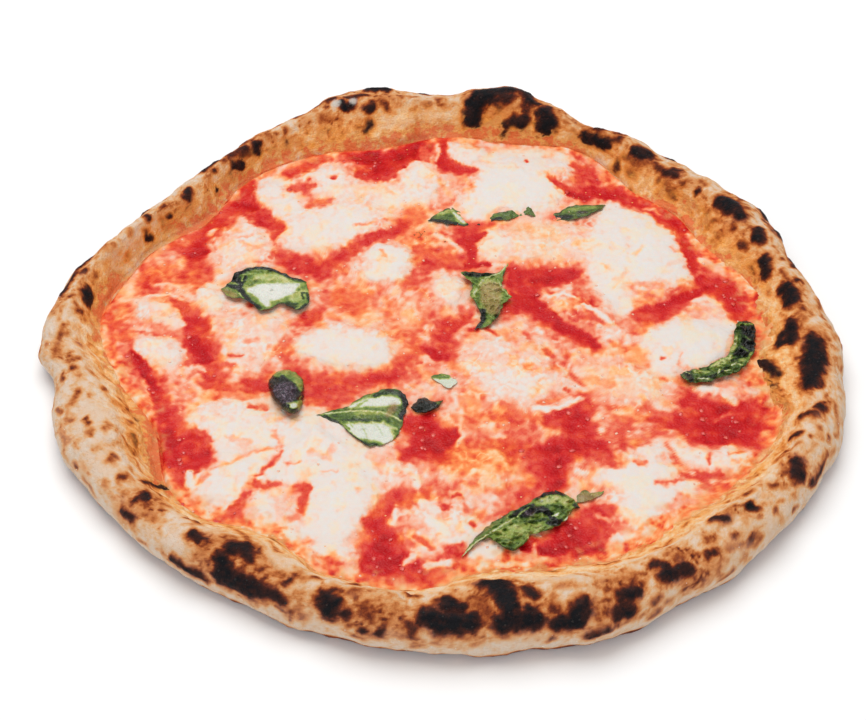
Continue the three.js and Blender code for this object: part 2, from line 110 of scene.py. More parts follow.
CREAM = (
    (0.93, 2.0, 0.7, -58, 58, 7, -52, 68, 13, -40, 73, 13, -34, 84, 10),
    (0.94, 2.0, 0.7, -64, 78, 7, -67, 88, 8, -72, 96, 8, -64, 101, 3),
    (0.93, 2.0, 0.6, -56, 106, 6, -47, 106, 6, -44, 97, 8, -50, 94, 5),
    (0.86, 3.0, 0.5, -36, 92, 9, -26, 94, 9, -24, 84, 8),
    (0.92, 2.2, 0.5, -9, 112, 5, -8, 103, 9, -10, 92, 9, -18, 88, 7),
    (0.88, 2.2, 0.4, -80, 73, 6, -78, 63, 9, -84, 54, 8, -90, 48, 5),
    (0.90, 2.0, 0.4, -90, 42, 4, -93, 34, 3),
    (0.96, 1.8, 0.7, -23, 52, 9, -20, 44, 8, -17, 50, 8, -25, 42, 6),
    (0.96, 1.8, 0.7, -52, -2, 7, -42, -3, 11, -30, -4, 11, -26, -10, 8),
    (0.84, 2.6, 0.2, -80, 6, 9, -70, 6, 9, -66, 14, 6, -78, -8, 8),
    (0.92, 2.0, 0.5, -118, -2, 6, -112, -5, 8, -108, -12, 4),
    (0.86, 2.4, 0.2, -121, 22, 4, -113, 18, 6, -106, 12, 5),
    (0.93, 2.0, 0.5, -98, 29, 4, -94, 26, 6, -92, 18, 4),
    (0.94, 2.0, 0.6, -93, -44, 5, -84, -50, 9, -72, -48, 8, -62, -53, 9, -50, -57, 12),
    (0.94, 2.0, 0.6, -50, -57, 12, -38, -64, 12, -30, -77, 9, -40, -78, 9),
    (0.96, 1.8, 0.8, -40, -78, 10, -38, -90, 12, -42, -100, 10, -44, -110, 6, -36, -110, 5),
    (0.95, 1.8, 0.7, -82, -62, 8, -86, -76, 9, -76, -72, 10, -80, -86, 9, -88, -92, 4),
    (0.94, 2.0, 0.6, -66, -84, 6, -62, -94, 7, -55, -99, 5, -62, -82, 5),
    (0.95, 2.0, 0.7, -58, -70, 8, -68, -66, 6), (0.90, 2.6, 0.3, -66, -38, 6, -74, -38, 6, -88, -38, 5),
    (0.92, 2.2, 0.4, -50, -44, 6, -40, -52, 8), (0.94, 1.6, 0.7, 7, 124, 5, 12, 118, 6, 20, 119, 4),
    (0.97, 1.8, 0.9, 22, 108, 6, 28, 100, 11, 40, 98, 10, 46, 92, 7, 36, 90, 10),
    (0.97, 1.8, 0.9, 26, 92, 9, 18, 86, 8, 15, 79, 6, 16, 72, 3),
    (0.92, 2.2, 0.6, 28, 117, 7, 42, 115, 9, 54, 115, 6, 58, 124, 4),
    (0.90, 2.2, 0.5, 50, 88, 5, 42, 82, 4), (0.97, 1.6, 0.9, 74, 84, 3, 78, 78, 8, 86, 68, 12, 90, 56, 14),
    (0.97, 1.6, 0.9, 90, 56, 14, 86, 46, 12, 97, 42, 8, 103, 40, 4),
    (0.94, 2.2, 0.8, 74, 64, 10, 70, 52, 10, 70, 40, 8, 72, 30, 6, 76, 20, 5),
    (0.78, 3.0, 0.4, 24, 66, 5, 34, 68, 8, 44, 70, 7, 58, 66, 6),
    (0.84, 3.0, 0.4, 22, 55, 5, 32, 57, 7, 46, 56, 7, 58, 56, 7),
    (0.92, 1.6, 0.5, 23, 66, 3, 27, 60, 3, 22, 54, 3), (0.80, 2.0, 0.0, 114, 48, 5, 118, 44, 4, 116, 40, 3),
    (0.86, 1.6, 0.3, 109, 67, 3, 112, 62, 2), (0.80, 2.0, 0.0, 108, 22, 4, 115, 21, 4),
    (0.97, 1.5, 0.95, 88, 2, 6, 98, 3, 9, 110, 6, 8, 117, 9, 4),
    (0.97, 1.5, 0.95, 98, 3, 9, 104, -6, 9, 110, -2, 8), (0.93, 2.2, 0.7, 86, -2, 6, 92, -8, 7, 88, -18, 6),
    (0.90, 2.2, 0.4, 3, 37, 6, 5, 28, 6, 9, 22, 3),
    (0.90, 2.5, 0.1, 20, -3, 6, 26, -10, 9, 22, -20, 8, 32, -26, 8, 44, -22, 5),
    (0.80, 3.0, 0.0, 14, -12, 6, 36, -8, 7, 44, -4, 5),
    (0.90, 1.0, 0.5, 38, -38, 1.6, 46, -38, 1.6, 51, -34, 1.6),
    (0.76, 3.0, 0.1, 66, -6, 7, 66, -22, 8, 78, -26, 8, 88, -26, 6),
    (0.86, 2.5, 0.2, 76, -24, 5, 84, -28, 5),
    (0.93, 2.0, 0.7, 66, -72, 6, 74, -72, 9, 80, -62, 6, 88, -58, 4),
    (0.97, 1.8, 0.9, 74, -72, 9, 80, -80, 9, 76, -90, 8, 78, -98, 4),
    (0.96, 1.8, 0.8, 84, -72, 7, 92, -76, 5, 95, -78, 4),
    (0.90, 1.6, 0.2, 94, -60, 4, 100, -64, 4, 110, -64, 6, 117, -62, 5, 114, -70, 3),
    (0.86, 1.6, 0.3, 104, -26, 2, 111, -26, 2.5, 116, -33, 2.5, 113, -23, 3),
    (0.78, 2.6, 0.0, -4, -92, 6, 5, -96, 7, 2, -106, 7, -4, -110, 5),
    (0.92, 1.8, 0.4, 7, -96, 4, 14, -104, 4), (0.94, 1.6, 0.6, 16, -112, 3, 22, -109, 4),
    (0.74, 2.6, 0.0, 3, -84, 5, 12, -84, 4), (0.84, 2.0, 0.1, 64, -92, 3, 66, -84, 3),
    (0.84, 1.6, 0.3, 66, -107, 3, 70, -105, 3), (0.70, 3.0, 0.0, 50, 30, 5, 58, 26, 6),
    (0.72, 3.0, 0.0, 20, 6, 4, 30, 8, 5, 38, 4, 5), (0.70, 3.0, 0.0, -92, -12, 2, -86, -16, 3),
    (0.78, 2.0, 0.0, -84, 22, 4, -90, 12, 5),
    (0.72, 3.0, 0.0, -60, 22, 3, -46, 12, 5, -30, 14, 5, -14, 10, 5),
    (0.78, 3.0, 0.0, -22, -56, 5, -16, -68, 7, -8, -76, 5),
    (0.66, 3.0, 0.0, 10, -50, 4, 10, -68, 8, 26, -72, 7), (0.74, 2.0, 0.0, -92, 62, 3, -112, 44, 2),
)
TOMATO = (
    (0.57, 4.0, 0.1, 6, -60, 6, 16, -66, 8, 24, -64, 6),
    (0.06, 1.6, 0.8, -38, 121, 4, -30, 119, 6, -24, 112, 6, -26, 106, 5, -34, 107, 3),
    (0.12, 1.6, 0.6, -20, 117, 6, -14, 122, 5, -8, 130, 4, 2, 135, 3, 3, 122, 2.5),
    (0.14, 1.4, 0.6, 3, 122, 2.5, 3, 114, 4, 9, 110, 4, 17, 108, 1.5),
    (0.22, 1.4, 0.3, -14, 116, 2, -7, 118, 2, -4, 126, 2, -8, 119, 2),
    (0.24, 1.6, 0.2, -50, 118, 3, -57, 111, 3, -66, 107, 2.5),
    (0.30, 1.5, 0.2, -64, 96, 3, -60, 98, 4, -56, 100, 2.5), (0.34, 1.0, 0.2, -46, 105, 1.5),
    (0.48, 2.2, 0.2, -54, 86, 3.5, -48, 89, 3),
    (0.18, 1.6, 0.5, -82, 108, 1.6, -83, 98, 3, -84, 88, 5, -79, 81, 5, -72, 73, 4, -68, 72, 3),
    (0.24, 1.6, 0.3, -72, 74, 3, -70, 66, 3, -70, 61, 1.5),
    (0.22, 1.8, 0.3, -84, 86, 5, -92, 80, 5, -98, 70, 4, -101, 62, 4, -104, 54, 4.5, -104, 44, 2.5),
    (0.07, 1.6, 0.6, -105, 54, 3.5, -101, 55, 3), (0.07, 1.6, 0.6, -83, 87, 3, -80, 83, 3),
    (0.22, 1.4, 0.3, -113, 60, 2, -108, 56, 2.5),
    (0.38, 2.4, 0.1, -122, 42, 4, -112, 38, 5, -100, 38, 5, -96, 46, 3),
    (0.26, 1.6, 0.3, -126, 46, 2, -123, 37, 2, -121, 30, 2.5),
    (0.34, 2.0, 0.2, -135, 18, 4, -132, 8, 3, -127, 0, 2.5, -124, -8, 3),
    (0.14, 1.4, 0.6, -124, -8, 2.5, -119, -16, 3, -113, -26, 3, -109, -34, 2.5),
    (0.20, 1.6, 0.4, -107, 27, 1.5, -102, 18, 2.5, -98, 10, 5, -97, 0, 6, -94, -8, 6, -90, -14, 4),
    (0.10, 1.6, 0.6, -99, 4, 3, -97, -4, 5, -95, -10, 4),
    (0.28, 1.8, 0.2, -90, -16, 3, -87, -24, 3.5, -78, -25, 3, -71, -25, 3.5, -68, -18, 2),
    (0.20, 1.6, 0.4, -108, -34, 4, -104, -44, 5, -103, -54, 6, -96, -60, 8, -94, -68, 6, -96, -76, 2.5,
     -93, -81, 1.5),
    (0.16, 1.6, 0.4, -98, -56, 7, -91, -54, 4, -90, -64, 4), (0.05, 1.4, 0.6, -105, -64, 2.5, -101, -67, 3),
    (0.22, 1.8, 0.4, -68, 54, 3, -64, 50, 5, -56, 46, 5, -50, 42, 5, -44, 49, 3.5, -36, 57, 2.5),
    (0.20, 1.6, 0.4, -38, 56, 2.5, -28, 63, 3.5, -22, 66, 2.5, -15, 71, 3, -13, 75, 2.5),
    (0.38, 2.4, 0.2, -38, 28, 5, -32, 24, 6, -34, 18, 4),
    (0.26, 1.6, 0.2, -56, 13, 3, -52, 18, 2.5, -50, 12, 2), (0.46, 2.6, 0.2, -12, 82, 4, -10, 76, 4),
    (0.34, 2.0, 0.2, -8, 54, 3, -6, 47, 5, 2, 48, 4, -8, 38, 2.5, -12, 34, 2),
    (0.27, 1.8, 0.2, 2, 48, 4, 10, 46, 4, 18, 48, 3.5, 8, 42, 2),
    (0.22, 1.6, 0.4, 20, 72, 2.5, 13, 68, 5, 14, 60, 4, 15, 54, 2), (0.30, 1.8, 0.2, 26, 73, 2, 10, 72, 2),
    (0.27, 1.8, 0.2, -2, -4, 4, 4, -8, 4, 6, -2, 3, 0, 4, 3, 5, 10, 4, 12, 14, 3),
    (0.42, 2.2, 0.0, -10, 2, 3, -12, -16, 5, -20, -18, 4),
    (0.46, 2.4, 0.0, -60, -10, 2.5, -60, 0, 1.6, -56, 5, 1.6),
    (0.28, 1.8, 0.3, -60, -12, 2, -54, -19, 4, -46, -24, 7, -38, -24, 7, -26, -21, 5, -16, -20, 3),
    (0.30, 1.8, 0.3, -46, -30, 6, -38, -33, 4),
    (0.12, 1.6, 0.6, -12, -46, 4, -5, -46, 6, -4, -56, 7, 5, -50, 4, -10, -62, 4, 0, -63, 4),
    (0.36, 1.8, 0.1, -70, -78, 2, -64, -77, 2.6, -61, -77, 1.6),
    (0.36, 1.4, 0.1, -70, -80, 1.6, -73, -87, 2, -76, -91, 2.4, -78, -93, 2),
    (0.34, 1.4, 0.1, -52, -78, 2, -49, -78, 1.6, -50, -87, 2.2, -51, -93, 1),
    (0.66, 1.6, 0.0, -57, -84, 2, -57, -93, 3), (0.76, 1.0, 0.0, -84, -66, 0.8, -74, -63, 1, -66, -60, 0.6),
    (0.64, 1.0, 0.0, -60, -54, 1, -61, -62, 1.2, -66, -72, 1.2, -71, -76, 1),
    (0.60, 1.4, 0.0, -50, -106, 1.6, -46, -106, 1.4), (0.48, 1.4, 0.0, -44, -113, 1.6, -34, -116, 1.6),
    (0.26, 1.6, 0.3, -8, -84, 3.5, -16, -84, 4, -19, -90, 4, -22, -96, 5, -23, -104, 5),
    (0.14, 1.6, 0.6, -22, -100, 5, -19, -108, 7, -23, -116, 5, -14, -114, 5, -10, -117, 3),
    (0.28, 1.8, 0.3, -14, -121, 3, -6, -123, 3.5, 0, -120, 2.5, 4, -112, 3, 6, -107, 2),
    (0.38, 2.0, 0.1, -8, -83, 3, 2, -80, 3, 8, -78, 2),
    (0.24, 1.6, 0.3, 62, 122, 1.8, 62, 113, 2.2, 66, 106, 4.5, 63, 102, 2.5),
    (0.14, 1.5, 0.6, 50, 105, 1.5, 54, 98, 3, 60, 93, 4.5, 68, 94, 4.5, 78, 94, 4),
    (0.16, 1.6, 0.5, 80, 92, 3.5, 86, 87, 4, 94, 83, 5, 98, 76, 4.5, 104, 71, 4.5, 107, 64, 3),
    (0.20, 1.6, 0.4, 107, 64, 3, 107, 56, 4.5, 110, 50, 3, 108, 44, 3, 111, 36, 4.5, 118, 33, 5),
    (0.16, 1.6, 0.5, 118, 33, 5, 122, 24, 5, 128, 20, 5, 124, 14, 3.5),
    (0.14, 1.6, 0.6, 31, 45, 2.5, 35, 36, 6, 44, 39, 6, 54, 40, 4.5, 59, 40, 2),
    (0.15, 1.6, 0.5, 35, 36, 6, 36, 27, 5.5, 30, 20, 3.5, 40, 18, 4, 48, 11, 4, 56, 4, 3.5, 65, -3, 2),
    (0.40, 2.0, 0.0, 62, 17, 3, 66, 12, 3, 58, 30, 2, 60, 36, 2),
    (0.20, 1.6, 0.4, 84, 14, 4, 92, 18, 4.5, 100, 24, 4, 108, 31, 3.5),
    (0.58, 2.2, 0.1, 84, 33, 3.5, 92, 34, 3),
    (0.16, 1.6, 0.5, 98, -28, 2, 101, -35, 5, 110, -40, 6, 118, -42, 6, 126, -35, 4.5, 131, -38, 2),
    (0.12, 1.6, 0.7, 84, -43, 3, 94, -45, 5.5, 104, -46, 7, 114, -49, 7, 122, -46, 6),
    (0.14, 1.6, 0.6, 98, -54, 3, 112, -54, 3, 122, -54, 4.5, 125, -60, 3, 124, -66, 1.5),
    (0.18, 1.6, 0.5, 43, -44, 3.5, 50, -42, 4.5, 57, -38, 4, 58, -31, 2.5),
    (0.16, 1.6, 0.5, 54, -45, 5, 55, -53, 6, 48, -60, 7, 42, -60, 5, 42, -70, 6, 46, -76, 4),
    (0.22, 1.6, 0.3, 56, -54, 5, 62, -60, 4, 66, -65, 3),
    (0.30, 1.8, 0.2, 36, -78, 4, 32, -86, 3, 24, -91, 2.5, 17, -96, 1.5),
    (0.34, 2.2, 0.1, 22, -56, 4, 32, -60, 4.5, 36, -66, 3),
    (0.44, 2.4, 0.0, 22, -42, 4, 32, -44, 5, 12, -42, 3),
    (0.08, 1.4, 0.7, 34, -106, 3, 42, -109, 3.5, 50, -108, 4.5, 58, -107, 3.5),
    (0.12, 1.4, 0.6, 44, -102, 3, 54, -99, 5, 60, -100, 3.5, 56, -92, 3.5, 64, -90, 3),
    (0.40, 1.8, 0.0, 66, -97, 2.5, 63, -103, 2),
    (0.36, 1.8, 0.0, 18, -118, 2.5, 28, -116, 2.5, 40, -115, 2, 56, -116, 2.5),
    (0.34, 1.8, 0.0, 4, -117, 3, 8, -110, 3),
    (0.36, 1.6, 0.0, 96, -72, 2, 104, -75, 4, 110, -76, 3, 100, -80, 2),
    (0.46, 1.4, 0.0, 91, -66, 1.2, 92, -72, 1.5, 84, -77, 0.8), (0.56, 1.4, 0.0, 77, -65, 2.2),
    (0.42, 1.8, 0.0, 68, -52, 2, 74, -46, 3, 86, -52, 2, 70, -60, 2),
    (0.50, 1.8, 0.0, 112, -26, 2, 116, -24, 2.5, 124, -27, 2.5),
)
# Small strokes over the broad ones: a tone, and points. A few thin pale ones on the tomato are painted
# highlights.
FINE = (
    (0.16, 127, 27, 1.8, 131, 23, 2.4, 133, 17, 1.8), (0.03, -37, 118, 1.6, -32, 116, 2.6, -26, 115, 1.6),
    (0.72, 77, -7, 1.6, 79, -11, 2.0), (0.76, -21, 94, 0.8, -19.3, 92.2, 0.6),
    (0.50, -8.2, 63.5, 0.9, -7.3, 67.5, 1.0), (0.70, 69.2, 46.6, 0.5, 71.9, 43.5, 0.4),
    (0.78, 86.5, 58.7, 0.6, 83, 52.3, 0.7), (0.80, 76.1, 36.6, 0.8, 72.4, 30.5, 0.6),
    (0.34, -68, 107, 1.2, -60, 111, 1.4, -53, 116, 2, -50, 118.5, 1.2),
    (0.36, -64, 96, 1.6, -58, 98, 2.2, -54, 98.5, 1.2),
    (0.46, -56, 84.5, 1.8, -50, 87, 2.2, -46, 89.5, 1.4), (0.40, -46, 104, 1.2),
    (0.60, -77, 105, 0.9, -70, 106, 0.9), (0.66, -84, 61, 0.9, -78, 57, 0.9, -71, 60, 1.0),
    (0.62, -86, 64, 0.7, -80, 65, 0.8), (0.06, -104, 53, 1.8, -99, 54.5, 1.8),
    (0.08, -83.5, 87, 2.2, -80, 83, 2), (0.28, -82, 101, 1.6, -84, 90, 2.2),
    (0.30, -74, 75, 1.6, -67, 70, 2.4, -70, 64.5, 1.4), (0.24, -122, 34, 2, -121, 38, 1.2),
    (0.80, -117, 34, 0.7, -108, 33, 0.7), (0.84, -120, 26.5, 0.9, -111, 28, 0.9, -105, 25.5, 0.7),
    (0.82, -98, 66, 0.8, -95, 70, 0.7), (0.02, -32, 121, 1.8, -28, 120, 2.2, -29, 116.5, 1.6),
    (0.10, -20, 123, 1.6, -13, 127, 2, -8, 131, 1.8, 0, 133, 1.6), (0.12, -15, 112, 0.9),
    (0.42, -7, 125, 2.2, -5, 119, 2.4, -4, 115.5, 1.2), (0.80, -0.5, 127, 0.9, 1, 121, 1.0, -0.5, 116, 0.8),
    (0.26, 3, 130, 1.4, 3.5, 117, 1.8, 8, 111, 2.2, 15, 109, 1.6), (0.36, 40, 115.5, 0.9),
    (0.66, 6, 107, 1.6, 7, 97, 1.8, 4, 88, 2), (0.50, 4, 85.5, 2, 1, 83.5, 1.2),
    (0.72, -21, 94, 1.2, -23, 97, 0.8), (0.70, -30, 86, 1.4, -29, 82.5, 1.1),
    (0.48, -13, 81, 2.4, -8, 78, 3, -9, 74, 2.2), (0.22, -15, 72, 1.6), (0.50, -22, 76, 1.2),
    (0.62, -35, 72, 1.0, -29, 73.5, 1.2), (0.30, -31, 60.5, 1.8, -26, 65, 2.4, -20, 68.5, 1.6),
    (0.66, -24, 55, 1.2, -22, 52, 0.8), (0.34, -6, 69.5, 0.7), (0.30, -7.5, 64, 0.8), (0.34, 3, 60.5, 0.8),
    (0.42, -9, 57, 2, 0, 50.5, 2.6, 10, 48, 2.2), (0.84, -1, 66, 1.0, 5, 61, 1.2, 10, 56, 0.9),
    (0.18, 10, 62, 1.8, 16, 63, 2.6, 20, 66.5, 1.6), (0.16, 15, 58, 2, 15, 48, 1.8),
    (0.12, 12, 46, 1.6, 21, 47, 1.6), (0.82, 23, 47.5, 0.9, 28, 46, 0.8), (0.90, 20, 58, 1.6, 28, 61, 1.8),
    (0.92, 24, 66, 1.8), (0.34, 60, 113, 1.6, 65, 109, 3.2, 69, 104, 1.4),
    (0.38, 61, 121, 1.4, 63, 117, 1.2), (0.36, 48.5, 104, 1.4, 54, 99, 2), (0.08, 57, 93, 1.8, 63, 91, 1.8),
    (0.16, 70, 93, 1.8, 80, 91, 2), (0.08, 103, 74, 2, 106.5, 69.5, 1.8),
    (0.66, 90, 83, 0.8, 94, 82, 0.8, 96, 79, 0.6), (0.56, 85, 84, 0.9, 88, 80.5, 0.8),
    (0.24, 105, 61, 1.4, 107, 52, 2.4, 108, 43, 1.8), (0.88, 107.5, 66, 1.4, 109.5, 62, 1.8),
    (0.82, 111, 49, 1.6, 116, 47.5, 2, 120, 45, 1.2), (0.46, 109, 42, 0.9, 118, 40, 0.9),
    (0.74, 71, 45, 1.2), (0.80, 84, 53, 0.9, 86, 57, 0.7), (0.78, 74, 37, 1.6, 78, 41, 1.0),
    (0.12, 51, 39, 1.2), (0.62, 99, 58, 0.8, 101, 55, 1.2), (0.62, 84, 35, 1.4, 92, 33, 2),
    (0.80, 97, 47, 1.4, 104, 49, 1.0), (0.08, -99, 2, 2.2, -97, -5, 3, -92, -10, 2.2),
    (0.20, -94, -17, 0.9, -89, -22, 0.8), (0.10, -123, -6, 1.4, -119, -12, 2.2, -114, -21, 2, -112, -27, 1),
    (0.02, -119, -15, 0.9, -114, -24, 0.7),
    (0.40, -119, -22, 0.9, -115, -33, 0.9, -112, -46, 0.9, -110, -51, 0.7),
    (0.66, -117, -22, 0.7, -112, -36, 0.7), (0.06, -104, -50, 1.8, -102, -56, 2.4, -99, -54, 1.2),
    (0.38, -96, -50, 1.0, -90, -51, 1.1, -87, -54, 0.9), (0.42, -88, -11.5, 1.4, -82, -14, 2),
    (0.33, -92, -24, 2, -82, -27, 1.6), (0.26, -76, -22.5, 2, -68, -26, 2.6),
    (0.52, -83, -30, 1.4, -76, -31.5, 2, -72, -31, 1.2), (0.42, -73, -36, 1.6, -67, -37, 1.4),
    (0.24, -55, 16, 1.4, -53, 11, 2), (0.40, -62, -8, 1.6, -60, -12, 2.2),
    (0.80, -101, -15, 0.8, -95, -14.5, 0.9, -93, -17.5, 0.7), (0.36, -136, 15, 2.2, -133, 12, 1.4),
    (0.84, -120, 22, 1.6, -112, 20.5, 2), (0.84, -115, 13, 1.8, -104, 11, 2),
    (0.34, -109, 25, 1.2, -103, 18, 1.8), (0.44, -126, 6, 0.9, -112, 4, 1.0, -104, 3, 1.0),
    (0.60, -77, 0, 1.6, -73, 1.5, 1.2), (0.42, -84, -8, 0.8, -79, -8.5, 0.8),
    (0.58, -69, -5, 0.8, -68, -1, 0.7), (0.46, -46, 26, 3, -32, 26, 3, -30, 18, 2),
    (0.52, -44, 15, 2.2, -40, 13, 1.6), (0.34, -13, 3, 1.2), (0.40, -8, -2, 0.9, -16, 2, 0.8),
    (0.12, -3, -5, 1.8, 0, -9, 2), (0.28, 3, 3, 1.4, 9, 10, 1.8, 13, 15, 1.8),
    (0.40, -1, 12, 1.2, 1, 8, 1.0), (0.18, -7, -12, 0.9), (0.20, 16, 7, 1.2, 13, 6, 0.8),
    (0.28, 24, 4, 0.8, 20, 8, 0.8), (0.38, 37, 2, 1.4, 35, 5, 0.8),
    (0.56, 36, -13, 0.7, 38, -12.5, 0.7, 40, -14.5, 0.7, 37, -15.5, 0.7, 35.5, -14, 0.7),
    (0.60, 10, -32, 2, 18, -36, 2.6), (0.78, 8, -46, 0.8, 9, -52, 1.0, 7, -57, 0.8),
    (0.44, 26, -36, 2, 33, -42, 3), (0.38, 21, -42, 1.2, 24, -44, 0.9), (0.86, 21, -46, 1.2),
    (0.82, 23, -52, 1.2, 26, -53, 0.8), (0.44, 10, 20, 1.6, 11, 17, 1.0),
    (0.12, 31, 27, 2.4, 40, 22, 3.4, 48, 14, 2.4), (0.12, 50, 9, 2.4, 60, 3, 2, 65, -2.5, 1.2),
    (0.40, 62, 15, 1.4, 66, 12.5, 1.8), (0.46, 60, 30, 0.8, 62, 26, 0.9),
    (0.92, 45, 27, 1.0, 52, 29, 1.0, 57, 26, 0.8), (0.36, 47, 29, 1.0, 45, 31, 0.8),
    (0.93, 60, 22, 1.0, 66, 17, 1.2, 70, 12, 1.0), (0.14, 92, 21, 1.6, 103, 27, 2.2, 112, 32, 2.2),
    (0.18, 117, 29, 1.8, 125, 23, 2, 132, 22, 1.6), (0.38, 82, 15.5, 1.8, 89, 14.5, 1.8),
    (0.82, 106, 24, 1.2, 112, 25, 1.4, 115, 22, 1.2), (0.60, 112, 19, 1.4, 106, 18, 0.9),
    (0.04, 112, 33, 0.8), (0.62, 75, -10, 1.2, 81, -11, 2.6, 80, -6, 1.6), (0.50, 70, 0, 1.4, 72, -3, 0.9),
    (0.92, 70, 6, 1.2), (0.38, 46, -8, 1.6, 44, -4, 0.9), (0.78, 48, -12, 0.6, 51, -18, 0.6),
    (0.42, 53, -18, 1.2, 57, -24, 1.4), (0.40, 51, -28, 1.5),
    (0.96, 38, -37, 0.9, 42, -38.5, 1.1, 47, -38, 1.1, 52, -35, 1.0, 56, -32, 0.8),
    (0.54, 41, -34.5, 1.2, 46, -34, 1.3), (0.80, 86, -34.5, 0.9, 89, -38, 0.8),
    (0.44, 89, -22, 1.5, 91, -23, 0.9), (0.42, 90, -9, 0.9), (0.62, 97, -7, 0.6, 96, -14, 0.6),
    (0.92, 104, -26, 1.4, 110, -26.5, 1.4), (0.86, 112, -30, 0.9, 116, -35, 1.2),
    (0.60, 112, -24, 2.2, 118, -24, 1.8), (0.42, 108, -44, 0.9, 114, -40, 0.9),
    (0.80, 123, -29, 0.8, 127, -28, 1.3, 124, -26, 0.7), (0.08, 103, -47, 2.2, 115, -48, 2.6, 121, -44, 2),
    (0.44, 80, -37, 2, 90, -42, 1.8), (0.36, 73, -48, 1.4), (0.62, 58, -20, 1.6, 68, -24, 2.2),
    (0.88, 63, -49, 1.4), (0.34, -98, -75, 1.6, -94, -82, 0.9), (0.95, -94, -72, 1.6, -93, -78, 1.8),
    (0.58, -90, -77, 0.8, -87, -72, 1.2),
    (0.60, -86, -69, 0.8, -79, -66, 0.8, -74, -63, 0.7, -66, -59.5, 0.7, -60, -58, 0.7),
    (0.38, -59, -60, 0.9, -62, -65.5, 1.2, -66, -70, 0.7, -69, -73, 0.7),
    (0.34, -69, -76, 1.6, -65, -77.5, 1.8, -61, -76.5, 1.5),
    (0.36, -71, -81, 1.2, -75, -87, 1.2, -77, -90, 1.6), (0.34, -79, -94, 2, -74, -91, 1.4),
    (0.50, -93, -89, 1.2, -88, -91, 1.1), (0.52, -85, -92, 0.7, -81, -91.5, 0.7),
    (0.70, -79, -53, 1.6, -72, -55, 1.8, -76, -57, 1.0),
    (0.38, -54, -78, 1.3, -49.5, -77.5, 2, -50, -84, 2.2, -51, -90, 1.6),
    (0.58, -51, -92, 1.2, -55, -95, 1.4), (0.74, -61, -84, 1.2, -59, -90, 1.6, -55, -86, 1.2),
    (0.58, -57, -67, 0.9, -52, -66, 0.8), (0.62, -63, -50, 1.2, -61, -56, 0.9),
    (0.72, -48, -60, 2, -42, -64, 2, -40, -58, 1.6), (0.70, -44, -71, 0.7, -38, -70, 0.7),
    (0.70, -30, -80, 1.4), (0.56, -54, -105, 0.8, -47, -106, 0.9), (0.50, -56, -103, 0.8, -52, -110, 0.8),
    (0.42, -51, -114, 0.8, -45, -116, 1.3, -40, -118, 0.9), (0.46, -45, -112.5, 0.7, -40, -113, 0.7),
    (0.06, -22, -108, 2, -15, -113, 2.6, -21, -116, 1.8), (0.50, -26, -103, 1.4), (0.36, -36.5, -116, 1.6),
    (0.40, -8, -103, 1.2, -4, -106, 1.4, -2, -108.5, 0.9), (0.46, -14, -100, 1.0, -10, -106, 1.1),
    (0.62, -15, -96, 1.4, -9, -96, 1.4), (0.97, -2, -95, 2, 3, -101, 1.8),
    (0.90, -15, -91, 1.2, -17, -96, 1.3), (0.88, -6, -86, 1.6, 0, -90, 1.6),
    (0.90, 2, -104, 1.2, 10, -104, 1.6), (0.84, -9, -112, 1.2, -12, -117, 0.8),
    (0.90, -4, -117, 1.6, 4, -115.5, 1.8), (0.28, 3, -88, 1.4), (0.34, 13, -97, 1.6),
    (0.28, 5, -83, 0.9, 8, -83, 1.2), (0.48, 11, -90, 1.0, 10, -87, 0.8),
    (0.28, 4, -108, 1.3, 9, -112, 1.6), (0.95, 13, -112, 1.8, 19, -109, 2.2, 18, -115, 1.8),
    # The thin pale stroke at 36 across, from -107 to -114 away, is a painted highlight on the wet tomato.
    (0.02, 30, -108, 1.8, 44, -110, 2.4), (0.76, 36, -107, 0.5, 36, -114, 0.5),
    (0.74, 29, -107, 0.5, 30, -112, 0.4), (0.90, 14, -70, 1.4), (0.88, -9, -74, 1.2, -8, -78, 1.4),
    (0.48, 19, -80, 1.4, 24, -82, 1.6), (0.50, 75, -65, 1.4, 79, -66, 1.6),
    (0.40, 88, -56, 0.9, 90, -61, 1.0, 91, -66, 1.2, 93, -68, 0.9),
    (0.46, 83, -76, 0.7, 88, -75, 0.6, 95, -74, 0.8),
    (0.36, 93, -72, 1.0, 100, -72, 1.6, 106, -72, 2, 110, -77, 2), (0.40, 101, -79, 1.4, 112, -79, 1.8),
    (0.88, 104, -76, 1.0), (0.84, 108, -76, 0.8, 112, -76, 0.9), (0.82, 97, -72, 0.9),
    (0.40, 104, -61, 0.7, 103, -66, 0.8), (0.26, 122, -56, 1.8, 126, -61, 2, 122, -67, 1.2),
    (0.50, 112, -61, 0.7, 118, -60, 0.8), (0.56, 113, -65, 0.7, 117, -65.5, 0.7),
    # The thin pale stroke from 53 to 57 across, at -113 away, is a painted highlight on the tomato.
    (0.02, 46, -109, 1.8, 54, -112, 1.8, 60, -109, 1.6), (0.80, 53, -113, 0.7, 57, -113.5, 0.9),
    (0.58, 60, -93, 1.6, 63, -95, 1.0), (0.95, 66, -104, 2.2, 68, -109, 2.4),
    (0.38, 62, -88, 1.6, 64, -92, 1.4), (0.62, 86, -89, 1.4, 94, -84, 1.8),
    (0.88, 53, -71, 1.6, 57, -72, 1.2), (0.38, 59, -60, 1.6, 66, -64, 1.8),
    (0.30, 44, -64, 0.5, 48, -61, 0.5),
)
